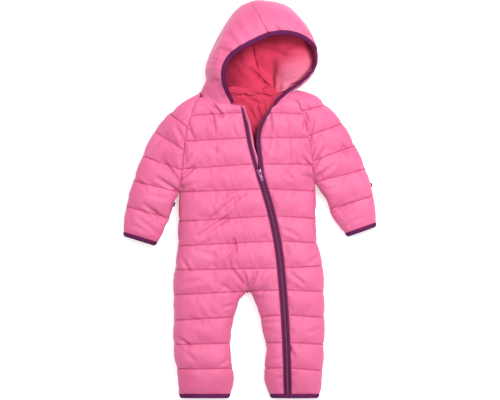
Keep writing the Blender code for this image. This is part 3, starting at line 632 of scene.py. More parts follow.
def weld(parts, tolerance=0.02):
    """One shell from several grids: parts is a list of (piece name, grid, faces turned over)."""
    places, points, puff, sewn, line = {}, [], [], [], []
    faces, owners, index = [], [], []
    for name, sheet, turned in parts:
        rows, cols = sheet.points.shape[:2]
        numbers = np.zeros((rows, cols), int)
        for spot in np.ndindex(rows, cols):
            key = tuple(np.round(sheet.points[spot] / tolerance).astype(int))
            if key not in places:
                places[key] = len(points)
                points.append(sheet.points[spot])
                puff.append(sheet.puff[spot])
                sewn.append(sheet.sewn[spot])
                line.append(sheet.line[spot])
            numbers[spot] = places[key]
            sewn[places[key]] |= sheet.sewn[spot]
            line[places[key]] |= sheet.line[spot]
        for r in range(rows - 1):
            for c in range(cols - 1):
                corners = [numbers[r, c], numbers[r, c + 1], numbers[r + 1, c + 1],
                           numbers[r + 1, c]]
                if len(set(corners)) == 4:
                    faces.append(corners[::-1] if turned else corners)
                    owners.append(name)
        index.append(numbers)
    return Shell(np.array(points), np.array(faces), np.array(owners), np.array(puff),
                 np.array(sewn, bool), np.array(line, bool), index)


def point_normals(points, faces):
    """The direction out of the surface at each point, averaged over the faces round it."""
    a, b, c, d = (points[faces[:, i]] for i in range(4))
    face_normals = np.cross(c - a, d - b)
    normals = np.zeros_like(points)
    for i in range(4):
        np.add.at(normals, faces[:, i], face_normals)
    return unit(normals)


def puffed(points, faces, puff):
    """Points moved out by their puff; underneath, sewn lines lift off the floor instead."""
    normals = point_normals(points, faces)
    down = np.clip(-normals[:, 2], 0, 1)[:, None]
    out = puff[:, None] * PUFF * (1 - down) - (1 - puff[:, None]) * GROOVE * down
    return points + normals * out


body_shell = weld([("front_main", front_main[0], False), ("front_main", front_main[1], False),
                   ("front_side", front_side, False),
                   ("back", back[0], True), ("back", back[1], True)])
right_shell = weld([("sleeve_right", sleeve_right[0], True),
                    ("sleeve_right", sleeve_right[1], False)])
left_shell = weld([("sleeve_left", sleeve_left[0], False),
                   ("sleeve_left", sleeve_left[1], True)])
hood_shell = weld([("hood_right", hood_right, True), ("hood_left", hood_left, True)])
print("points to simulate:",
      [len(shell.points) for shell in (body_shell, right_shell, left_shell, hood_shell)])

# %% [markdown]
# ## Folds placed one by one
#
# Some folds come from how the suit was laid down, and no simulation would find them: they run
# from the armpits, from the crotch and across the waist. Each is a short table row: a straight
# trough from one point to another, with a width and a depth. The trough is deepest in its middle
# and fades out at its ends, and the cloth beside it rises a little. A negative depth gives a
# ridge. They are pressed into the cloth after it is blown up, so they stay crisp.

# %% Fold tables
Fold = namedtuple("Fold", "x y to_x to_y width depth")
FRONT_FOLDS = (
    # waist, wearer's right
    Fold(-78, -38, -24, 4, 4.1, 3.0), Fold(-104, -74, -46, -36, 4.8, 2.6),
    Fold(-62, -16, -10, 14, 3.4, 2.0), Fold(-132, -30, -100, -6, 4.1, 1.8),
    Fold(-33, -78, -28, -98, 2.7, 3.4), Fold(-28, -98, -43, -120, 2.7, 3.8),
    Fold(-43, -120, -38, -136, 2.7, 2.6), Fold(-112, -100, -70, -112, 4.8, 1.8),
    # chest
    Fold(-88, 206, -56, 168, 3.4, 3.4), Fold(-78, 172, -70, 134, 4.1, 2.2),
    Fold(-126, 152, -112, 120, 3.4, 2.0), Fold(-36, 150, -28, 128, 3.4, 1.2),
    Fold(-92, 112, -60, 92, 4.1, 1.4), Fold(39, 174, 42, 146, 2.7, 3.2),
    Fold(42, 146, 35, 104, 2.7, 2.8), Fold(35, 104, 26, 88, 2.7, 2.0),
    Fold(60, 64, 86, 40, 4.1, 1.5), Fold(72, -60, 96, -72, 4.1, 1.6),
    # armpits
    Fold(-141, 40, -112, 66, 3.4, 2.8), Fold(-142, 22, -108, 34, 3.4, 2.4),
    Fold(-136, 70, -116, 92, 2.7, 2.0), Fold(127, 60, 104, 84, 3.4, 2.6),
    Fold(128, 42, 100, 50, 3.4, 2.2), Fold(122, 96, 108, 116, 2.7, 2.0),
    # crotch
    Fold(-6, -176, -36, -140, 3.4, 3.4), Fold(-4, -172, -14, -142, 2.7, 2.6),
    Fold(-2, -176, 14, -144, 2.7, 2.8), Fold(24, -182, 44, -152, 3.4, 2.4),
    Fold(-24, -208, -52, -214, 2.7, 2.4), Fold(-30, -190, -60, -166, 3.4, 1.6),
    Fold(4, -196, 26, -196, 2.7, 1.6),
    # legs
    Fold(-144, -276, -122, -290, 3.4, 2.6), Fold(-138, -116, -122, -140, 3.4, 2.2),
    Fold(-136, -168, -96, -160, 4.8, 1.6), Fold(-128, -306, -108, -322, 4.1, 1.4),
    Fold(-120, -240, -80, -252, 5.4, 1.5), Fold(-60, -330, -42, -318, 3.4, 1.6),
    Fold(26, -246, 58, -244, 2.2, 1.8), Fold(28, -260, 56, -266, 2.2, 1.8),
    Fold(30, -276, 52, -274, 2.0, 1.3), Fold(32, -322, 58, -318, 2.3, 1.5),
    Fold(34, -352, 60, -354, 2.3, 1.5), Fold(80, -146, 108, -168, 3.4, 2.4),
    Fold(142, -112, 118, -124, 3.4, 2.0), Fold(78, -292, 88, -312, 3.4, 1.6),
    Fold(140, -258, 116, -266, 3.4, 1.8),
)
BACK_FOLDS = (
    Fold(-120, 40, -70, 20, 4.8, 2.2), Fold(60, 60, 110, 34, 4.8, 2.0),
    Fold(-20, -60, 30, -74, 5.4, 1.8),
    Fold(-6, -174, -40, -132, 3.4, 3.0), Fold(0, -174, 36, -128, 3.4, 3.0),
    Fold(-132, -160, -90, -172, 4.1, 1.8), Fold(90, -236, 134, -226, 4.1, 2.0),
    Fold(-140, 30, -104, 74, 3.4, 2.4), Fold(128, 44, 96, 82, 3.4, 2.4),
)
SLEEVE_FOLDS = (
    # wearer's right
    Fold(-146, 18, -186, 44, 3.4, 3.0), Fold(-144, 40, -172, 76, 3.4, 2.2),
    Fold(-128, 110, -150, 150, 4.1, 2.0), Fold(-164, 4, -206, 10, 3.4, 1.8),
    Fold(-170, -40, -214, -8, 3.4, 2.6), Fold(-182, -70, -226, -34, 3.4, 2.4),
    Fold(-200, -66, -240, -48, 2.7, 1.8), Fold(-118, 176, -140, 160, 4.1, 1.6),
    Fold(-180, 118, -204, 96, 4.1, 1.6), Fold(-226, 40, -206, 22, 3.4, 1.6),
    # wearer's left
    Fold(130, 42, 168, 70, 3.4, 3.0), Fold(126, 64, 150, 104, 3.4, 2.6),
    Fold(124, 92, 142, 128, 2.7, 2.2), Fold(118, 120, 128, 164, 3.4, 2.0),
    Fold(146, 14, 186, 34, 3.4, 1.8), Fold(168, -28, 204, -6, 3.4, 2.2),
    Fold(186, -56, 224, -34, 2.7, 1.8), Fold(176, 120, 196, 90, 4.1, 1.6),
    Fold(214, 60, 236, 40, 3.4, 1.5), Fold(104, 196, 118, 182, 3.4, 1.6),
)
HOOD_FOLDS = (
    # beside the crown seam, the gathers along the rim's right, the outline, and the left neck
    Fold(46, 350, 60, 334, 3.5, 2.6), Fold(66, 352, 72, 336, 3.5, 1.6),
    Fold(-62, 300, -34, 292, 4, 2.4), Fold(-70, 292, -44, 282, 3.5, 2.4),
    Fold(-78, 282, -50, 272, 3.5, 2.2), Fold(-80, 272, -52, 264, 3.2, 2.2),
    Fold(-72, 260, -55, 255, 2.6, 1.5), Fold(-68, 250, -56, 247, 2.4, 1.1),
    Fold(-72, 238, -55, 238, 2.6, 1.5), Fold(-64, 228, -52, 229, 2.4, 1.0),
    Fold(-46, 330, -20, 302, 5, 2.2), Fold(-30, 352, -4, 318, 6, 1.6),
    Fold(-78, 300, -60, 330, 8, 1.4), Fold(96, 352, 92, 334, 4, 1.6),
    Fold(118, 330, 108, 322, 4, 1.4), Fold(-4, 384, 6, 340, 9, 1.2),
    Fold(54, 190, 60, 206, 2.5, 2.0), Fold(64, 196, 70, 212, 2.5, 1.8),
)
LIP = 0.4             # how high the cloth rises beside a trough, as a share of its depth
DEEPER = 1.6          # the troughs' depths in the tables are for slack cloth; padding deepens them


def folded_in(points, faces, folds, up):
    """Points with each fold pressed into the side of the shell that faces up (1) or down (-1)."""
    normals = point_normals(points, faces)
    facing = ramp(normals[:, 2] * up, -0.05, 0.35)
    depth = np.zeros(len(points))
    for fold in folds:
        start = np.array([fold.x, fold.y], float)
        run = np.array([fold.to_x, fold.to_y], float) - start
        t = (points[:, :2] - start) @ run / (run @ run)
        away = np.linalg.norm(points[:, :2] - start - np.clip(t, 0, 1)[:, None] * run, axis=1)
        fade = np.sqrt(np.clip(np.sin(np.pi * np.clip(0.12 + 0.76 * t, 0, 1)), 0, 1))
        lip = LIP * np.exp(-((away - 2 * fold.width) / fold.width) ** 2)
        depth += DEEPER * fold.depth * (np.exp(-(away / fold.width) ** 2) - lip) * fade
    return points - normals * (depth * facing)[:, None]


print("folds:", len(FRONT_FOLDS) + len(BACK_FOLDS) + len(SLEEVE_FOLDS) + len(HOOD_FOLDS))

# %% [markdown]
# ## The simulation
#
# All shells are simulated at once, without gravity: the suit already lies on the floor. A few
# frames are enough, because the form is already near its end shape. A point may move only so
# far, and near the floor it may not spread sideways.

# %% Blow the shells up
FRAMES = 14
PRESSURE = 10.0
SPARE_CLOTH = 0.032   # how much longer the cloth is than the form it covers
BENDING = 0.5
HOOD_PRESSURE = 5.0
HOOD_SPARE = 0.02
CLOTH_QUALITY = 5
MOST_MOVED = 7.0      # mm
FREE_OVER_FLOOR = (0.5, 5.0)   # mm; the cloth is held at the first height and free at the second
ROUGHEN = 0.16        # mm of unevenness that gives the puckers somewhere to start
FLOOR_GAP = 0.05      # mm


def cloth_object(name, points, faces, sewn, pressure, spare, bending):
    mesh = bpy.data.meshes.new(name)
    mesh.from_pydata((points * MM).tolist(), [], faces.tolist())
    cloth = bpy.data.objects.new(name, mesh)
    bpy.context.scene.collection.objects.link(cloth)
    pins = cloth.vertex_groups.new(name="sewn")
    pins.add(np.nonzero(sewn)[0].tolist(), 1.0, "REPLACE")
    modifier = cloth.modifiers.new("cloth", "CLOTH")
    settings = modifier.settings
    settings.quality = CLOTH_QUALITY
    settings.vertex_group_mass = "sewn"
    settings.use_pressure = True
    settings.uniform_pressure_force = pressure
    settings.shrink_min = -spare
    settings.bending_stiffness = bending
    settings.effector_weights.gravity = 0
    modifier.point_cache.frame_end = FRAMES
    return cloth


def blown_up(shells):
    """Simulates several shells at once. Each is (points, faces, sewn, pressure, spare, bending)."""
    random = np.random.default_rng(7)
    clothes = []
    for i, (points, faces, sewn, pressure, spare, bending) in enumerate(shells):
        rough = random.normal(0, ROUGHEN, points.shape) * (~sewn)[:, None]
        clothes.append(cloth_object(f"shell_{i}", points + rough, faces, sewn, pressure, spare,
                                    bending))
    for number in range(1, FRAMES + 1):
        bpy.context.scene.frame_set(number)
    graph = bpy.context.evaluated_depsgraph_get()
    results = []
    for cloth, (points, *_) in zip(clothes, shells):
        found = np.empty(len(points) * 3)
        cloth.evaluated_get(graph).data.vertices.foreach_get("co", found)
        moved = found.reshape(-1, 3) / MM - points
        moved[:, :2] *= ramp(points[:, 2], *FREE_OVER_FLOOR)[:, None]
        length = np.linalg.norm(moved, axis=1, keepdims=True)
        moved *= np.minimum(1, MOST_MOVED / np.maximum(length, 1e-9))
        results.append(points + moved)
        print("moved", length.mean().round(2), "mm on average, most", length.max().round(2))
        bpy.data.objects.remove(cloth, do_unlink=True)
    bpy.context.scene.frame_set(1)
    return results


def quilted(shell):
    """What to simulate for a quilted shell."""
    points = puffed(shell.points, shell.faces, shell.puff)
    return points, shell.faces, shell.sewn, PRESSURE, SPARE_CLOTH, BENDING


started = [quilted(body_shell), quilted(right_shell), quilted(left_shell),
           (hood_shell.points, hood_shell.faces, hood_shell.sewn, HOOD_PRESSURE, HOOD_SPARE,
            BENDING)]
blown = blown_up(started)
body_points = folded_in(blown[0], body_shell.faces, FRONT_FOLDS, 1)
body_points = folded_in(body_points, body_shell.faces, BACK_FOLDS, -1)
right_points = folded_in(blown[1], right_shell.faces, SLEEVE_FOLDS, 1)
left_points = folded_in(blown[2], left_shell.faces, SLEEVE_FOLDS, 1)
hood_spots = folded_in(blown[3], hood_shell.faces, HOOD_FOLDS, 1)

# %% [markdown]
# ## Quilted nylon
#
# The shell is a thin plain-woven nylon with a soft sheen. At arm's length the weave only shows as
# a fine tooth in the light, so it is a bump of two crossed waves. The sewn grooves get painted
# shade: the colour turns deeper where each mesh marks them with an attribute. On the lining the
# same attribute carries painted shade and painted light, and a second one adds a darker painted
# shade where little light gets in. Pieces without it aren't darkened.

# %% Cloth materials
CLOTH_PATCHES = 14    # noise scale: a patch of slightly different colour every 70 mm or so


def node(material, kind, **settings):
    made = material.node_tree.nodes.new(kind)
    for key, value in settings.items():
        setattr(made, key, value)
    return made


def join(material, start, end):
    material.node_tree.links.new(start, end)


def woven_bump(material, pitch, depth, coordinates):
    """Two crossed waves, one thread pitch apart, as a height for a bump."""
    heights = []
    for direction in ("X", "Y"):
        wave = node(material, "ShaderNodeTexWave", wave_type="BANDS", bands_direction=direction)
        wave.inputs["Scale"].default_value = 1 / pitch / 2
        wave.inputs["Distortion"].default_value = 0.6
        wave.inputs["Detail"].default_value = 1.0
        join(material, coordinates.outputs["Object"], wave.inputs["Vector"])
        heights.append(wave.outputs["Fac"])
    both = node(material, "ShaderNodeMath", operation="MULTIPLY")
    join(material, heights[0], both.inputs[0])
    join(material, heights[1], both.inputs[1])
    bump = node(material, "ShaderNodeBump")
    bump.inputs["Strength"].default_value = 0.25
    bump.inputs["Distance"].default_value = depth
    join(material, both.outputs[0], bump.inputs["Height"])
    return bump


def mottled(material, low, high, scale, coordinates, detail=4.0):
    """Two close colours in soft patches."""
    noise = node(material, "ShaderNodeTexNoise")
    noise.inputs["Scale"].default_value = scale
    noise.inputs["Detail"].default_value = detail
    join(material, coordinates.outputs["Object"], noise.inputs["Vector"])
    blend = node(material, "ShaderNodeValToRGB")
    blend.color_ramp.elements[0].position, blend.color_ramp.elements[1].position = 0.35, 0.65
    blend.color_ramp.elements[0].color = (*low, 1)
    blend.color_ramp.elements[1].color = (*high, 1)
    join(material, noise.outputs["Fac"], blend.inputs["Fac"])
    return blend.outputs["Color"]


def mixed_in(material, colour, attribute, other):
    """A colour that turns into another one where the mesh's attribute is high."""
    share = node(material, "ShaderNodeAttribute", attribute_name=attribute)
    mix = node(material, "ShaderNodeMix", data_type="RGBA")
    join(material, share.outputs["Fac"], mix.inputs["Factor"])
    join(material, colour, mix.inputs["A"])
    mix.inputs["B"].default_value = (*other, 1)
    return mix.outputs["Result"]


def cloth_material(name, low, high, painted_shade, roughness, sheen, pitch=0.0005, depth=0.00012,
                   shine=0.5, painted_deep_shade=(0, 0, 0)):
    material = new_material(name, roughness)
    coordinates = node(material, "ShaderNodeTexCoord")
    colour = mottled(material, low, high, CLOTH_PATCHES, coordinates)
    # Painted shade: the colour turns deeper in sewn grooves and in the lining's shaded parts.
    colour = mixed_in(material, colour, "painted_shade", painted_shade)
    colour = mixed_in(material, colour, "painted_deep_shade", painted_deep_shade)
    join(material, colour, shader_of(material).inputs["Base Color"])
    bump = woven_bump(material, pitch, depth, coordinates)
    join(material, bump.outputs["Normal"], shader_of(material).inputs["Normal"])
    shader_of(material).inputs["Specular IOR Level"].default_value = shine
    shader_of(material).inputs["Sheen Weight"].default_value = sheen
    shader_of(material).inputs["Sheen Roughness"].default_value = 0.4
    return material


# The shell's third colour is the painted shade along its sewn lines.
SHELL = cloth_material("pink_nylon", (0.460, 0.067, 0.172), (0.490, 0.083, 0.196),
                       (0.33, 0.014, 0.065), 0.64, 0.12, shine=0.5)
# The lining's two deeper reds are painted shade: one over most of the hood, a darker one under the
# rim.
LINING = cloth_material("rose_lining", (0.52, 0.120, 0.205), (0.55, 0.135, 0.220),
                        (0.42, 0.004, 0.036), 0.78, 0.0, shine=0.15, painted_deep_shade=(0.13, 0.001, 0.018))
TRIM = cloth_material("purple_binding", (0.060, 0.0015, 0.036), (0.078, 0.0025, 0.050),
                      (0.03, 0.001, 0.016), 0.8, 0.0, pitch=0.0009, depth=0.0003, shine=0.2)
print("cloth materials:", SHELL.name, LINING.name, TRIM.name)

# %% [markdown]
# ## From a shell to its panels
#
# The simulated shell is one mesh, but the suit is cut from panels. Each panel is taken out of it
# as a piece of its own, smoothed by one subdivision with its sewn lines kept sharp, and given the
# thickness of padded cloth on the inside.

# %% Cut panels out of a shell
WALL = 3.6            # mm of padding and cloth behind the surface
# A sewn line gets this share of painted shade.
LINE_SHADE = 0.7      # how much of the groove's colour a sewn line shows
LINE_CREASE = 0.7     # how sharp it stays when the mesh is smoothed


def mark(mesh, name, values, domain="POINT"):
    mesh.attributes.new(name, "FLOAT", domain).data.foreach_set("value", values)


def smooth_mesh(name, points, faces, finish, painted_shade, smooth, wall):
    """A mesh with its finish, smoothed by subdivisions and given a wall inwards, in millimetres."""
    mesh = bpy.data.meshes.new(name)
    mesh.from_pydata((np.asarray(points) * MM).tolist(), [], faces)
    mesh.shade_smooth()
    mesh.materials.append(finish)
    mark(mesh, "painted_shade", painted_shade)
    piece = bpy.data.objects.new(name, mesh)
    bpy.context.scene.collection.objects.link(piece)
    if smooth:
        finer = piece.modifiers.new("finer", "SUBSURF")
        finer.levels = finer.render_levels = smooth
    if wall:
        padding = piece.modifiers.new("wall", "SOLIDIFY")
        padding.thickness = wall * MM
        padding.offset = -1
    return piece


def panel(name, points, faces, line, finish, wall=WALL, painted_shade=None, painted_deep_shade=None):
    """One piece from some faces of a shell, padded inwards by wall."""
    used, renumbered = np.unique(faces, return_inverse=True)
    on_line = line[used]
    # Sewn lines get painted shade, unless another painted shade is given.
    shade = on_line * LINE_SHADE if painted_shade is None else painted_shade[used]
    piece = smooth_mesh(name, points[used], renumbered.reshape(faces.shape).tolist(), finish,
                        shade, 1, wall)
    if painted_deep_shade is not None:
        mark(piece.data, "painted_deep_shade", painted_deep_shade[used])
    ends = np.empty(len(piece.data.edges) * 2, int)
    piece.data.edges.foreach_get("vertices", ends)
    both = on_line[ends.reshape(-1, 2)].all(axis=1)
    mark(piece.data, "crease_edge", both * LINE_CREASE, "EDGE")
    return piece


def take_out(shell, points, names):
    """The quilted panels of one shell; nothing reaches below the floor."""
    points = points.copy()
    points[:, 2] = np.maximum(points[:, 2], FLOOR_GAP)
    made = {}
    for name in names:
        faces = shell.faces[shell.owners == name]
        made[name] = panel(f"{name}_cloth", points, faces, shell.line, SHELL)
        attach(made[name], "garment")
        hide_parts(name)
    return made


pieces = {}
pieces.update(take_out(body_shell, body_points, ("front_main", "front_side", "back")))
pieces.update(take_out(right_shell, right_points, ("sleeve_right",)))
pieces.update(take_out(left_shell, left_points, ("sleeve_left",)))
pieces.update(take_out(hood_shell, hood_spots, ("hood_right", "hood_left")))
print("panels:", ", ".join(pieces))

# %% [markdown]
# ## Strips: bindings and tapes
#
# A binding is a strip of cloth folded over a raw edge, and a tape is a woven strip. Both are one
# cross-section drawn along a line, so both come from one helper: it takes the line, the direction
# of the strip's width and of its height at each point, and the section as a short table.

# %% A strip along a line


def grid_faces(rows, cols, closed=False):
    """Four-sided faces between the rows of a grid; closed joins the last column to the first."""
    numbers = np.arange(rows * cols).reshape(rows, cols)
    if closed:
        numbers = np.column_stack([numbers, numbers[:, 0]])
    return np.stack([numbers[:-1, :-1], numbers[:-1, 1:], numbers[1:, 1:], numbers[1:, :-1]],
                    axis=2).reshape(-1, 4)


def add_piece(name, points, faces, finish, body="garment", replaces=(), smooth=1,
              wall=0.0):
    """A mesh piece that rides on a body and takes its finish from a slot. Points in millimetres."""
    piece = smooth_mesh(name, points, faces, finish, np.zeros(len(points)), smooth, wall)
    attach(piece, body)
    if replaces:
        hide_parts(*replaces)
    return piece


def strip_along(line, wide, high, section):
    """A closed section drawn along a line: section rows are (share of width, height in mm)."""
    section = np.array(section, float)
    return (line[:, None] + wide[:, None] * section[None, :, :1]
            + high[:, None] * section[None, :, 1:])


def capped(rows):
    """Faces of a closed tube of sections, with its two ends closed."""
    count, around = rows.shape[:2]
    faces = grid_faces(count, around, closed=True).tolist()
    faces.append(list(range(around))[::-1])
    faces.append(list(range((count - 1) * around, count * around)))
    return faces


print("faces of a strip of 10 sections with 8 points:", len(capped(np.zeros((10, 8, 3)))))

# %% [markdown]
# ## The hood's binding
#
# The rim of the hood is bound with a purple strip, folded over the edge and sewn through. It is
# drawn along the same sections as the hood, so it follows the rim exactly, and it ripples a little
# as a sewn strip does.

# %% The hood's binding
BINDING_STEPS = 150
RIPPLES = ((0.35, 9.0, 0.0), (0.25, 23.0, 1.0))   # height in mm, waves along the rim, shift
FOLDED_OVER = ((0.0, -3.4), (0.5, -3.6), (0.98, -3.0), (1.06, -1.2), (1.0, 0.6), (0.82, 1.35),
               (0.5, 1.6), (0.18, 1.35), (-0.06, 0.2), (-0.1, -1.8))


def hood_binding():
    at = np.linspace(0, len(HOOD) - 1, BINDING_STEPS)
    grid = hood_points(at)
    rim, bound, beyond = grid[:, 0], grid[:, 1], grid[:, 4]
    along = unit(np.gradient(rim, axis=0))
    wide = bound - rim
    high = unit(np.cross(along, wide))
    high *= np.sign(np.einsum("ij,ij->i", high, np.cross(along, beyond - rim)))[:, None]
    high = np.where((high @ np.array([0, 0, 1]))[:, None] < -0.2, -high, high)
    spread = unit(high[:-2] + 2 * high[1:-1] + high[2:])
    high = np.vstack([high[:1], spread, high[-1:]])
    waves = sum(height * np.sin(at * often + shift) for height, often, shift in RIPPLES)
    rows = strip_along(rim + high * waves[:, None], wide, high, FOLDED_OVER)
    return add_piece("hood_binding_cloth", rows.reshape(-1, 3), capped(rows), TRIM,
                     replaces=("hood_binding",))


pieces["hood_binding"] = hood_binding()
print("rim of the hood:", round(np.linalg.norm(np.diff(hood_points(HOOD_AT)[:, 0], axis=0),
                                               axis=1).sum()), "mm")

# %% [markdown]
# ## Bindings of cuffs and hems
#
# The ends of sleeves and legs are bound in the same way, all round. Each is a short tube that
# carries the sleeve or leg on: its plan is a narrow strip, laid on the same form above and below.

# %% Bindings of cuffs and hems
BINDING_WIDTH = 8.5
BINDING_WALL = 3
BAND_ROWS, BAND_COLUMNS = 6, 26
BAND_UNDER = 0.4      # how far a band runs under the end of its tube
BAND_INSET = 0.3
CORNER_IN = 4.0       # how far its corners are drawn in at the open end


def end_band(name, start, end):
    """A bound tube end: it carries the tube on by its width, a little drawn in and puckered."""
    start, end = np.array(start, float), np.array(end, float)
    along = (end - start) / np.linalg.norm(end - start)
    onward = np.array([along[1], -along[0]])
    onward *= -np.sign(onward[1])
    shares = eased(BAND_COLUMNS, True, True)[:, None]
    plan = []
    for share in np.linspace(0, 1, BAND_ROWS):
        step = onward * (share * BINDING_WIDTH - BAND_UNDER)
        inset = along * (BAND_INSET + CORNER_IN * share ** 2)
        plan.append(start + step + inset + (end - start - 2 * inset) * shares)
    plan = np.array(plan)
    folded = np.zeros(plan.shape[:2], bool)
    folded[:, [0, -1]] = True
    across_band = np.linspace(0, 1, BAND_ROWS)[:, None]
    round_over = np.sin(np.pi * np.clip(across_band * 0.9 + 0.08, 0, 1)) ** 0.5
    ripple = 0.25 * np.sin(shares.T * 70 + across_band * 1.2) + 0.2 * np.sin(shares.T * 31)
    puff = np.broadcast_to(round_over * (1.1 + ripple), plan.shape[:2])
    sewn = np.zeros(plan.shape[:2], bool)
    front = Sheet(on_form(plan, front_height, folded), puff, sewn, sewn)
    below = Sheet(on_form(plan, back_height, folded), puff, sewn, sewn)
    turned = start[0] > end[0]
    band = weld([(name, front, not turned), (name, below, turned)])
    points, faces, proud = band.points, band.faces, band.puff
    normals = point_normals(points, faces)
    if normals[np.argmax(points[:, 2]), 2] < 0:
        faces, normals = faces[:, ::-1], -normals
    points = points + normals * proud[:, None]
    points[:, 2] = np.maximum(points[:, 2], FLOOR_GAP)
    return add_piece(f"{name}_cloth", points, faces.tolist(), TRIM,
                     replaces=(name,), wall=BINDING_WALL)


def sleeve_end(lines, outer, underarm):
    """The two corners of a sleeve's end."""
    ring = lines[-1]
    return (across(outer, ring.outer), ring.outer), (across(underarm, ring.inner), ring.inner)


for side, edge, inseam in (("right", RIGHT_SIDE, RIGHT_INSEAM), ("left", LEFT_SIDE, LEFT_INSEAM)):
    hem = f"hem_binding_{side}"
    pieces[hem] = end_band(hem, (edge[0].x, HEM_Y), (inseam[0].x, HEM_Y))
pieces["cuff_binding_right"] = end_band(
    "cuff_binding_right", *sleeve_end(RIGHT_ARM_LINES, RIGHT_ARM_OUT, RIGHT_ARM_IN))
pieces["cuff_binding_left"] = end_band(
    "cuff_binding_left", *sleeve_end(LEFT_ARM_LINES, LEFT_ARM_OUT, LEFT_ARM_IN))
print("bound edges:", sum("binding" in name for name in pieces))

# %% [markdown]
# ## The zip
#
# Each tape is a woven strip sewn behind a panel's edge. Below the slider the two rows of teeth are
# locked together. Above it the tapes part and turn aside with the open neck. A thin piping lies
# along the seam between tape and panel, and its lighter mauve is a painted highlight.

# %% Zip tapes
TAPE_SECTION = ((0.0, -1.4), (1.0, -1.4), (1.02, 0.2), (0.8, 0.75), (0.45, 0.45), (0.15, 0.6),
                (-0.04, 0.1))
TAPE_STEP = 3.0
TAPE_SINK = 0.3       # how far a tape lies below the front
PIPING_RADIUS, PIPING_LIFT = 0.9, 0.6
TOP_Y = {"right": 188.0, "left": 194.0}
ROLL_FROM = 145
ROLLED = 0.6          # how much narrower a tape looks at its rolled top end
ZIP_PAINT = cloth_material("zip_tape_weave", (0.056, 0.0015, 0.026), (0.075, 0.003, 0.038),
                           (0.03, 0.001, 0.016), 0.8, 0.0, pitch=0.0008, depth=0.0003, shine=0.2)
# Painted highlight: the thin roll beside each tape is a lighter mauve, standing for light on the
# tape's edge.
PIPING_HIGHLIGHT_PAINT = cloth_material("mauve_painted_highlight", (0.11, 0.010, 0.062), (0.14, 0.016, 0.08),
                        (0.06, 0.004, 0.03), 0.7, 0.05, pitch=0.0008, depth=0.0002, shine=0.3)


def on_front(xy, lift=0.0):
    """A line of points on the front, lifted by some millimetres."""
    return np.column_stack([xy, front_height(xy) + lift])


def tape_width(ys, side):
    return TAPE * (1 - ROLLED * ramp(ys, ROLL_FROM, TOP_Y[side]))


def tape_lines(side):
    """The two edges of one tape, from the hem to the neck: at the panel and at the teeth."""
    ys = np.concatenate([np.arange(HEM_Y, SLIDER_Y, TAPE_STEP),
                         np.arange(SLIDER_Y + TAPE_STEP, TOP_Y[side], TAPE_STEP)])
    right, left = zip_edges(ys)
    middle = across(ZIP_MIDDLE, ys)
    opened = ramp(ys, SLIDER_Y - 2, SLIDER_Y + 14)
    wide = tape_width(ys, side)
    if side == "right":
        outer, inner = right, middle + (right + wide - middle) * opened
    else:
        outer, inner = left, middle + (left - wide - middle) * opened
    return np.column_stack([outer, ys]), np.column_stack([inner, ys])


def frame_along(start, end):
    """Width and height directions of a strip between two lines of points."""
    along = unit(np.gradient(start, axis=0))
    high = unit(np.cross(end - start, along))
    return np.where(high[:, 2:] < 0, -high, high)


def tube_section(radius, sides=8):
    turns = np.linspace(0, 2 * np.pi, sides, endpoint=False)
    return np.column_stack([np.cos(turns), np.sin(turns)]) * radius


def tube_along(line, radius):
    """A round tube along a line that runs on the front."""
    along = unit(np.gradient(line, axis=0))
    aside = unit(np.cross(along, np.array([0, 0, 1.0])))
    high = np.cross(aside, along)
    return strip_along(line, aside, high, tube_section(radius))


def joined_mesh(parts):
    """Points and faces of several meshes as one."""
    points, faces, count = [], [], 0
    for part_points, part_faces in parts:
        points.append(np.asarray(part_points).reshape(-1, 3))
        faces += [[i + count for i in face] for face in part_faces]
        count += len(points[-1])
    return np.vstack(points), faces


zip_inner = {}
for side in ("right", "left"):
    outer, inner = (on_front(xy, -TAPE_SINK) for xy in tape_lines(side))
    high = frame_along(outer, inner)
    rows = strip_along(outer, inner - outer, high, TAPE_SECTION)
    piping = tube_along(outer + high * PIPING_LIFT, PIPING_RADIUS)
    pieces[f"zip_tape_{side}"] = add_piece(
        f"zip_tape_{side}_cloth", rows.reshape(-1, 3), capped(rows), ZIP_PAINT,
        replaces=(f"zip_tape_{side}",))
    pieces[f"piping_{side}"] = add_piece(
        f"piping_{side}", piping.reshape(-1, 3), capped(piping), PIPING_HIGHLIGHT_PAINT)
    zip_inner[side] = (inner, high)
print("tape rows", len(rows))

# %% [markdown]
# ## Zip teeth
#
# A coil zip's teeth are loops of one nylon thread. At this size a loop is a small block, wider at
# its root, that reaches over the tape's edge. The left row starts half a pitch later, so below the
# slider the two rows lock into each other.

# %% Zip teeth
TOOTH_PITCH = 1.6
TOOTH = ((-1.0, -0.42, 0.0), (-1.0, 0.42, 0.0), (1.0, 0.36, 0.0), (1.0, -0.36, 0.0),
         (-0.8, -0.34, 0.6), (-0.8, 0.34, 0.6), (0.75, 0.3, 0.65), (0.75, -0.3, 0.65))
BLOCK_FACES = ((0, 3, 2, 1), (4, 5, 6, 7), (0, 1, 5, 4), (1, 2, 6, 5), (2, 3, 7, 6), (3, 0, 4, 7))
TOOTH_REACH = 1.7
TEETH_LIFT = 0.1


def resampled(line, pitch, first, carried):
    """Points every pitch along a line, the line's direction, and what else it carries there."""
    steps = np.linalg.norm(np.diff(line, axis=0), axis=1)
    run = np.concatenate([[0], np.cumsum(steps)])
    at = np.arange(first, run[-1], pitch)
    points, others = (np.column_stack([np.interp(at, run, values[:, i]) for i in range(3)])
                      for values in (line, carried))
    return points, unit(np.gradient(points, axis=0)), others


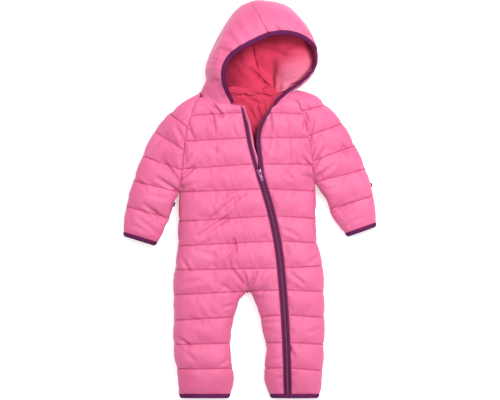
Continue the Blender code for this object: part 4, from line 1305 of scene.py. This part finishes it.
def teeth(side):
    """Points and faces of one row of teeth."""
    inner, high = zip_inner[side]
    sign = 1 if side == "right" else -1
    first = 0.0 if side == "right" else TOOTH_PITCH / 2
    points, along, _ = resampled(inner, TOOTH_PITCH, first, high)
    up = np.array([0, 0, 1.0])
    toward = unit(np.cross(along, up)) * sign
    high = np.cross(toward * sign, along)
    shape = np.array(TOOTH)
    spots = (points[:, None] + toward[:, None] * (shape[None, :, :1] * TOOTH_REACH)
             + along[:, None] * shape[None, :, 1:2]
             + high[:, None] * (shape[None, :, 2:] + TEETH_LIFT))
    return joined_mesh([(spot, BLOCK_FACES) for spot in spots])


def speckled(name, low, high, scale, roughness):
    """A hard finish whose colour varies in tiny specks."""
    material = new_material(name, roughness)
    place = node(material, "ShaderNodeTexCoord")
    join(material, mottled(material, low, high, scale, place),
         shader_of(material).inputs["Base Color"])
    return material


TEETH_FINISH = speckled("tooth_nylon", (0.07, 0.005, 0.038), (0.10, 0.009, 0.055), 900, 0.38)
for side in ("right", "left"):
    points, faces = teeth(side)
    pieces[f"zip_teeth_{side}"] = add_piece(f"zip_teeth_{side}", points, faces, TEETH_FINISH,
                                            smooth=0)
    print("teeth on the", side, len(points) // len(TOOTH))

# %% [markdown]
# ## The linings
#
# A smoother cloth lines the hood and the back of the neck, and its deep red is painted shade. It is
# cut a little larger than the shell, so it lies in loose folds: two run down across the back of the
# hood, the left wall bellies out, and where hood and neck are sewn together the spare cloth gathers
# into a roll.

# %% Hood lining
LINING_WALL, LINING_BENDING = 0.8, 0.2
LINING_GAP, FOOT_GAP = 5.2, 9.5   # behind the shell's surface: over the head, and under it
BELLY_FROM, BELLY_TO, BELLY = 46.0, 104.0, 26.0
LINING_FOLDS = (
    Fold(-2, 292, 5, 260, 2.6, 3.6), Fold(5, 260, 43, 222, 2.6, 3.6),
    Fold(-8, 290, 0, 262, 2.4, 2.6), Fold(0, 262, 38, 226, 2.4, 3.0),
    Fold(-14, 300, -6, 270, 6, -3.0), Fold(4, 270, 30, 240, 5, -2.4),
    Fold(47, 276, 45, 214, 3, 4.4), Fold(20, 262, 32, 236, 4, -2.4),
    Fold(16, 310, 40, 296, 5, 3.0), Fold(48, 300, 74, 284, 5, 3.4),
    Fold(28, 292, 42, 262, 4, -2.2), Fold(62, 250, 56, 222, 4, 2.0),
    Fold(70, 292, 96, 300, 6, -3.4), Fold(-36, 270, -14, 240, 5, 3.0),
    Fold(-40, 240, -20, 230, 4, 2.4), Fold(60, 262, 92, 276, 14, -4.0),
)
LINING_PRESSURE = 2.0
LINING_SPARE = 0.03


def hood_lining_half(number):
    """The hood's own grid, moved in by the padding; it rises off the floor on the left."""
    index = hood_shell.index[number]
    outward = point_normals(hood_shell.points, hood_shell.faces)[index]
    below = ramp(-outward[..., 2], 0.2, 0.9)
    gap = LINING_GAP + (FOOT_GAP - LINING_GAP) * below
    points = hood_shell.points[index] - outward * gap[..., None]
    share = np.clip((points[..., 0] - BELLY_FROM) / (BELLY_TO - BELLY_FROM), 0, 1)
    points[..., 2] += BELLY * share ** 0.55 * below
    return sewn_round(points)


lining_shell = weld([("hood_lining_right", hood_lining_half(0), False),
                     ("hood_lining_left", hood_lining_half(1), False)], tolerance=0.5)


def loosened(shell, folds, spare=LINING_SPARE):
    """A lining's points, folded as its table lists them and then relaxed as loose cloth."""
    points = folded_in(shell.points, shell.faces, folds, 1)
    return blown_up([(points, shell.faces, shell.sewn, LINING_PRESSURE, spare,
                      LINING_BENDING)])[0]


def lining_panel(name, shell, points, painted_shade, painted_deep_shade):
    chosen = shell.faces[shell.owners == name]
    pieces[name] = panel(f"{name}_cloth", points, chosen, shell.line, LINING, wall=LINING_WALL,
                         painted_shade=painted_shade, painted_deep_shade=painted_deep_shade)
    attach(pieces[name], "garment")
    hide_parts(name)


# The whole lining gets a painted deep red shade, and the right of the hood a darker painted shade.
# The left wall gets painted light, up to a slanting line.
SHADED, SHADED_X = 0.85, (-44, 10)
PAINTED_SHADE_RED, LIT_SHARE = 0.82, 0.8
LIT_X, LIT_SLANT, LIT_TOP = (40, 74), 0.3, (212, 286)
hood_inside = loosened(lining_shell, LINING_FOLDS)
inside_x, inside_y = hood_inside[:, 0], hood_inside[:, 1]
in_shade = SHADED * (1 - ramp(inside_x, *SHADED_X))
lit_wall = ramp(inside_x, *LIT_X) * (1 - ramp(inside_y - LIT_SLANT * inside_x, *LIT_TOP))
for name in ("hood_lining_right", "hood_lining_left"):
    lining_panel(name, lining_shell, hood_inside, PAINTED_SHADE_RED - LIT_SHARE * lit_wall, in_shade)
print("hood lining points:", len(hood_inside))

# %% [markdown]
# ## The neck's lining and its roll
#
# In the open neck, the lining of the back shows. Where it meets the hood's lining, the spare cloth
# gathers into a roll that crosses the neck from side to side. The sheet is a plain grid over the
# back, raised along the roll, and its folds are again given one by one.

# %% Neck lining and its roll
NECK_LINING_X, NECK_LINING_Y = (-66.0, 80.0), (40.0, 236.0)
NECK_LIFT = 8.0
NECK_SPARE = 0.06
ROLL_Y, ROLL_WIDTH, ROLL_HEIGHT = 216.0, 9.0, 7.0
TUCK_Y, TUCK_DEPTH = (226, 236), 4.0
ROLL_FOLDS = (
    Fold(-36, 222, 6, 214, 2.6, 3.0), Fold(2, 222, 44, 216, 2.4, 3.0),
    Fold(-24, 208, 12, 206, 2.6, 2.4), Fold(10, 211, 40, 206, 2.4, 2.6),
    Fold(-30, 230, 30, 226, 3, 2.6), Fold(-16, 216, -8, 204, 2.2, 2.0),
    Fold(22, 226, 28, 212, 2.2, 2.0), Fold(-4, 200, 24, 190, 3.4, 2.0),
    Fold(0, 178, 10, 160, 3, 1.8), Fold(14, 186, 22, 160, 3.4, 2.2),
    Fold(28, 196, 30, 172, 3, 2.0), Fold(4, 150, 16, 128, 3, 1.6),
)


def neck_lining(columns=44, rows=60):
    xs = np.linspace(*NECK_LINING_X, columns)
    ys = np.linspace(*NECK_LINING_Y, rows)
    plan = np.stack(np.meshgrid(xs, ys), axis=-1)
    flat = plan.reshape(-1, 2)
    roll = ROLL_HEIGHT * np.exp(-((flat[:, 1] - ROLL_Y) / ROLL_WIDTH) ** 2)
    tuck = -TUCK_DEPTH * ramp(flat[:, 1], *TUCK_Y)
    points = np.column_stack([flat, back_height(flat) + NECK_LIFT + roll + tuck])
    return sewn_round(points.reshape(*plan.shape[:-1], 3))


# Painted shade on the neck's lining: deep red all over, and darker down the open zip.
NECK_PAINTED_SHADE = 0.8
NECK_SHADE, DOWN_SHADE, DOWN_Y = 0.05, 0.6, (90, 180)   # darker down the open zip
neck_shell = weld([("back_lining", neck_lining(), False)])
neck_inside = loosened(neck_shell, ROLL_FOLDS, NECK_SPARE)
painted_shade_down = NECK_SHADE + DOWN_SHADE * (1 - ramp(neck_inside[:, 1], *DOWN_Y))
lining_panel("back_lining", neck_shell, neck_inside, np.full(len(neck_inside), NECK_PAINTED_SHADE),
             painted_shade_down)
print("linings:", ", ".join(name for name in pieces if "lining" in name))

# %% [markdown]
# ## The guard behind the zip
#
# A lip of shell cloth lies behind one row of teeth, so that the zip doesn't catch the baby's chin.
# It is a narrow strip folded double, and only its folded edge shows beside the tape.

# %% Zip guard
GUARD_Y = (66.0, 189.0)
GUARD_SHOWS = 4.4
GUARD_SECTION = ((0.0, -3.4), (0.86, -3.4), (0.97, -2.9), (1.0, -2.0), (0.97, -1.1), (0.86, -0.6),
                 (0.76, -1.4), (0.0, -2.2))


def zip_guard():
    ys = np.linspace(*GUARD_Y, 50)
    right, _ = zip_edges(ys)
    tape = tape_width(ys, "right")
    shows = GUARD_SHOWS * ramp(ys, GUARD_Y[0] - 8, GUARD_Y[0] + 22)
    start = on_front(np.column_stack([right + 1, ys]))
    end = on_front(np.column_stack([right + 1 + tape + shows + 0.4 * np.sin(ys / 6), ys]))
    rows = strip_along(start, end - start, frame_along(start, end), GUARD_SECTION)
    return add_piece("zip_guard_cloth", rows.reshape(-1, 3), capped(rows), SHELL,
                     replaces=("zip_guard",))


pieces["zip_guard"] = zip_guard()
print("guard from", GUARD_Y[0], "to", GUARD_Y[1], "mm up the front")

# %% [markdown]
# ## Slider and pull tab
#
# The slider is a small painted casting: two plates joined by a post at the wide end, and a crown
# on top through which the pull tab's bar runs. The pull tab swings on that bar, so it is a piece
# that rides on its own body. Both are drawn in a frame of their own that runs up the zip.

# %% Frame of the slider
SLIDER_LENGTH, PLATE, PLAY = 12.0, 1.7, 0.5
PULL_BAR, PULL_THICK = 0.6, 1.1
TAPE_THICK = 1.6
BAR_Z = PLATE + PLAY + PULL_BAR


def slider_frame():
    """Origin, and the directions across and up the zip."""
    y = SLIDER_Y + SLIDER_LENGTH / 2
    right, left = zip_edges(np.array([y]))
    origin = on_front(np.array([[(right[0] + left[0]) / 2, y]]), PLAY)[0]
    lower, upper = across(ZIP_MIDDLE, np.array([0.0, SLIDER_Y]))
    up = np.array([upper - lower, SLIDER_Y, 0]) / np.hypot(upper - lower, SLIDER_Y)
    return origin, np.array([up[1], -up[0], 0]), up


def in_frame(points):
    origin, sideways, up = slider_frame()
    points = np.asarray(points, float)
    return (origin + points[..., :1] * sideways + points[..., 1:2] * up
            + points[..., 2:] * np.array([0, 0, 1.0]))


def mirrored(half):
    """A closed outline from its right half, listed from top to bottom."""
    half = np.array(half, float)
    other = half[::-1] * np.array([-1, 1])
    return np.vstack([half, other[~np.isclose(other[:, 0], 0)]])


def slab(outline, low, high, bevel=0.35):
    """A plate with rounded edges between two heights."""
    outline = np.array(outline, float)
    centre = outline.mean(axis=0)
    inner = outline - unit(outline - centre) * bevel
    levels = ((inner, low), (outline, low + bevel), (outline, high - bevel), (inner, high))
    rows = np.array([np.column_stack([ring, np.full(len(ring), z)]) for ring, z in levels])
    return rows.reshape(-1, 3), capped(rows)


def holed_slab(outer, inner, low, high, bevel=0.25):
    """A plate with a window in it."""
    outer, inner = np.array(outer, float), np.array(inner, float)
    middle = inner.mean(axis=0)
    out_step, in_step = unit(outer - middle) * bevel, unit(inner - middle) * bevel
    rings = ((outer - out_step, low), (outer, low + bevel), (outer, high - bevel),
             (outer - out_step, high), (inner + in_step, high), (inner, high - bevel),
             (inner, low + bevel), (inner + in_step, low))
    rows = np.array([np.column_stack([ring, np.full(len(ring), z)]) for ring, z in rings])
    rows = np.concatenate([rows, rows[:1]])
    faces = grid_faces(len(rows), rows.shape[1], closed=True)
    faces = np.where(faces >= (len(rows) - 1) * rows.shape[1],
                     faces - (len(rows) - 1) * rows.shape[1], faces)
    return rows[:-1].reshape(-1, 3), faces.tolist()


SLIDER_PAINT = speckled("mauve_paint", (0.20, 0.045, 0.15), (0.25, 0.07, 0.19), 700, 0.35)
shader_of(SLIDER_PAINT).inputs["Metallic"].default_value = 0.3
print("slider stands at", slider_frame()[0].round(1), "mm")

# %% [markdown]
# ## Slider
#
# The slider's plates are one outline, wide where the two tapes come in and narrow where the joined
# zip goes out. The upper plate has a raised edge along each side, and the crown is a bent strap.

# %% Slider
PLATE_HALF = ((0, 4.4), (1.4, 5.4), (2.9, 6.0), (4.4, 5.6), (5.0, 4.2), (4.9, 1.6), (4.3, -1.4),
              (3.9, -4.2), (3.2, -5.7), (1.6, -6.0), (0, -6.0))
POST_HALF = ((0, 5.6), (0.5, 5.4), (0.6, 4.4), (0.5, 3.2), (0, 3.0))
POST_BEVEL = 0.1
RAIL_RADIUS, RAIL_IN, RAIL_SINK = 0.5, 0.7, 0.1
CROWN_PATH = ((3.2, 1.4), (3.2, 2.8), (2.9, 4.0), (1.9, 4.35), (0, 4.45), (-1.9, 4.35),
              (-2.9, 4.0), (-3.2, 2.8), (-3.2, 1.4))
CROWN_SECTION = ((-0.5, -0.5), (0.5, -0.5), (0.5, 0.35), (0.3, 0.55), (-0.3, 0.55), (-0.5, 0.35))
CROWN_WIDE = 2.4


def crown():
    path = np.array([(0, v, z) for v, z in CROWN_PATH], float)
    along = unit(np.gradient(path, axis=0))
    high = np.cross(np.array([1.0, 0, 0]), along)
    high *= np.sign(high[len(high) // 2, 2])
    wide = np.broadcast_to(np.array([CROWN_WIDE, 0, 0]), path.shape)
    rows = strip_along(path, wide, high, CROWN_SECTION)
    return rows.reshape(-1, 3), capped(rows)


def rail(sign):
    """A raised edge along one side of the upper plate."""
    half = np.array(PLATE_HALF[4:9], float) * np.array([sign, 1]) - np.array([sign * RAIL_IN, 0])
    path = np.column_stack([half, np.full(len(half), PLATE - RAIL_SINK)])
    wide, high = (np.broadcast_to(np.array(axis, float), path.shape)
                  for axis in ((1, 0, 0), (0, 0, 1)))
    rows = strip_along(path, wide, high, tube_section(RAIL_RADIUS, 6))
    return rows.reshape(-1, 3), capped(rows)


lower_top = -TAPE_THICK - 2 * PLAY
slider_parts = [slab(mirrored(PLATE_HALF), 0.0, PLATE),
                slab(mirrored(PLATE_HALF), lower_top - PLATE, lower_top),
                slab(mirrored(POST_HALF), lower_top, PLATE / 2, POST_BEVEL),
                crown(), rail(1), rail(-1)]
points, faces = joined_mesh(slider_parts)
pieces["zip_slider"] = add_piece("zip_slider_paint", in_frame(points), faces, SLIDER_PAINT,
                                 replaces=("zip_slider",), smooth=0)
print("slider points:", len(points))

# %% [markdown]
# ## Pull tab
#
# The pull tab is a flat stamped plate with a window at the top, whose upper bar runs under the
# crown, and with ribs on both faces for the fingers. It rides on its own body, so it swings.

# %% Pull tab
PULL_HALF = ((0, 0.6), (1.6, 0.6), (2.5, 0.3), (2.8, -0.6), (2.7, -2.6), (2.6, -4.6), (2.7, -7.0),
             (3.0, -11.0), (3.2, -15.0), (3.2, -18.0), (2.8, -19.6), (1.6, -20.4), (0, -20.4))
WINDOW_HALF = ((0, -0.6), (1.0, -0.6), (1.5, -0.75), (1.6, -1.2), (1.6, -2.2), (1.6, -3.2),
               (1.6, -4.0), (1.5, -4.5), (1.3, -4.8), (1.0, -4.95), (0.7, -5.0), (0.3, -5.0),
               (0, -5.0))
RIB_HALF_LENGTH, RIB_HALF_WIDTH, RIB_HEIGHT, RIB_SINK = 2.0, 0.45, 0.28, 0.05
RIB_AT = (-8.0, -9.8, -11.6, -13.4, -15.2, -17.0)
RIB_SECTION = ((-1, 0), (-0.5, 0.85), (0.5, 0.85), (1, 0))


def rib(v, sign):
    """A low rib across the plate, on its upper face (1) or its lower one (-1)."""
    rows = []
    for u in np.linspace(-RIB_HALF_LENGTH, RIB_HALF_LENGTH, 7):
        grow = np.sqrt(max(0.05, 1 - (u / (RIB_HALF_LENGTH + 0.1)) ** 2))
        rows.append([(u, v + RIB_HALF_WIDTH * grow * a,
                      sign * (PULL_THICK / 2 - RIB_SINK + (RIB_HEIGHT + RIB_SINK) * grow * b))
                     for a, b in RIB_SECTION])
    rows = np.array(rows)
    return rows.reshape(-1, 3), capped(rows)


parts = [holed_slab(mirrored(PULL_HALF), mirrored(WINDOW_HALF), -PULL_THICK / 2, PULL_THICK / 2)]
parts += [rib(v, sign) for v in RIB_AT for sign in (1, -1)]
points, faces = joined_mesh(parts)
points = points + np.array([0, 0, BAR_Z])
pieces["zip_pull"] = add_piece("zip_pull_paint", in_frame(points), faces, SLIDER_PAINT,
                               body="pull_tab", replaces=("zip_pull",), smooth=0)
print("pull tab points:", len(points))

# %% [markdown]
# ## Sleeve tabs
#
# A short end of purple tape is folded double and caught in each sleeve seam. Only the fold and a
# few millimetres stand out.

# %% Sleeve tabs
TAB_LENGTH, TAB_WIDE = 10.0, 5.0
TAB_SECTION = ((-0.5, -0.7), (0.2, -0.72), (0.42, -0.5), (0.5, 0.0), (0.42, 0.5), (0.2, 0.72),
               (-0.5, 0.7), (-0.5, 0.12), (0.1, 0.1), (0.18, 0.0), (0.1, -0.1), (-0.5, -0.12))


def sleeve_tab(name, x, y, turn):
    """A tab at a point of the sleeve's edge, turned so that its fold faces outwards."""
    height = thickness(np.array([[x, y]], float))[0] * EDGE_SHARE
    outward = np.array([np.cos(turn), np.sin(turn), 0])
    along = np.array([-np.sin(turn), np.cos(turn), 0])
    line = np.array([x, y, height]) + along * np.linspace(-0.5, 0.5, 9)[:, None] * TAB_LENGTH
    wide = np.broadcast_to(outward * TAB_WIDE, line.shape)
    high = np.broadcast_to(np.array([0, 0, 1.0]), line.shape)
    rows = strip_along(line, wide, high, TAB_SECTION)
    return add_piece(f"{name}_tape", rows.reshape(-1, 3), capped(rows), TRIM,
                     replaces=(name,))


pieces["sleeve_tab_right"] = sleeve_tab("sleeve_tab_right", -152.4, -9.0, -0.29)
pieces["sleeve_tab_left"] = sleeve_tab("sleeve_tab_left", 242.4, 30.0, 0.24)
print("tabs:", TAB_LENGTH, "mm long and", TAB_WIDE, "mm wide")

# %% [markdown]
# ## Quilting thread
#
# Each quilting line is a run of short stitches in thread a shade deeper than the cloth. A stitch
# is a tiny bar that lies in the groove. The lines follow the sewn rows of the blown-up shell.

# %% Stitches
STITCH, STITCH_PITCH, THREAD = 2.5, 3.4, 0.32
THREAD_LIFT = 0.15
THREAD_FINISH = cloth_material("quilting_thread", (0.30, 0.018, 0.09), (0.36, 0.026, 0.11),
                               (0.25, 0.012, 0.06), 0.6, 0.1, shine=0.3)
BAR = np.array([(a, b) for a, b in ((-1, -1), (1, -1), (1, 1), (-1, 1))]) * THREAD


def stitched(line, outward):
    """Bars along one line, each lying on the cloth."""
    spots, along, up = resampled(line, STITCH_PITCH, STITCH_PITCH / 2, outward)
    up = unit(up)
    aside = unit(np.cross(along, up))
    bars = []
    for spot, forward, high, side in zip(spots, along, up, aside):
        ends = [spot + forward * share * STITCH + high * THREAD_LIFT for share in (-0.5, 0.5)]
        bars.append((np.array([end + side * a + high * b for end in ends for a, b in BAR]),
                     BLOCK_FACES))
    return bars


def stitch_piece(name, shell, points, numbers):
    """The stitches on some of a shell's grids as one piece; returns how many there are."""
    normals = point_normals(points, shell.faces)
    bars = []
    for number in numbers:
        index = shell.index[number]
        for row in range(STEPS, index.shape[0] - 1, STEPS):
            bars += stitched(points[index[row]], normals[index[row]])
    bar_points, bar_faces = joined_mesh(bars)
    bar_points[:, 2] = np.maximum(bar_points[:, 2], FLOOR_GAP)
    pieces[name] = add_piece(name, bar_points, bar_faces, THREAD_FINISH, smooth=0)
    return len(bars)


made = (stitch_piece("stitches_front", body_shell, body_points, (0, 1, 2))
        + stitch_piece("stitches_back", body_shell, body_points, (3, 4))
        + stitch_piece("stitches_sleeve_right", right_shell, right_points, (0, 1))
        + stitch_piece("stitches_sleeve_left", left_shell, left_points, (0, 1)))
print("stitches:", made)

# %% [markdown]
# ## What each cloth piece was cut to
#
# A record for the flat size of the cloth that shows on a piece, in metres: its width and length
# measured along the cloth, and its area where the cut isn't a rectangle. For sleeves, cuffs and
# hems these are meant all round.

# %% Flat sizes of the cloth
Cut = namedtuple("Cut", "width length area held on extras")
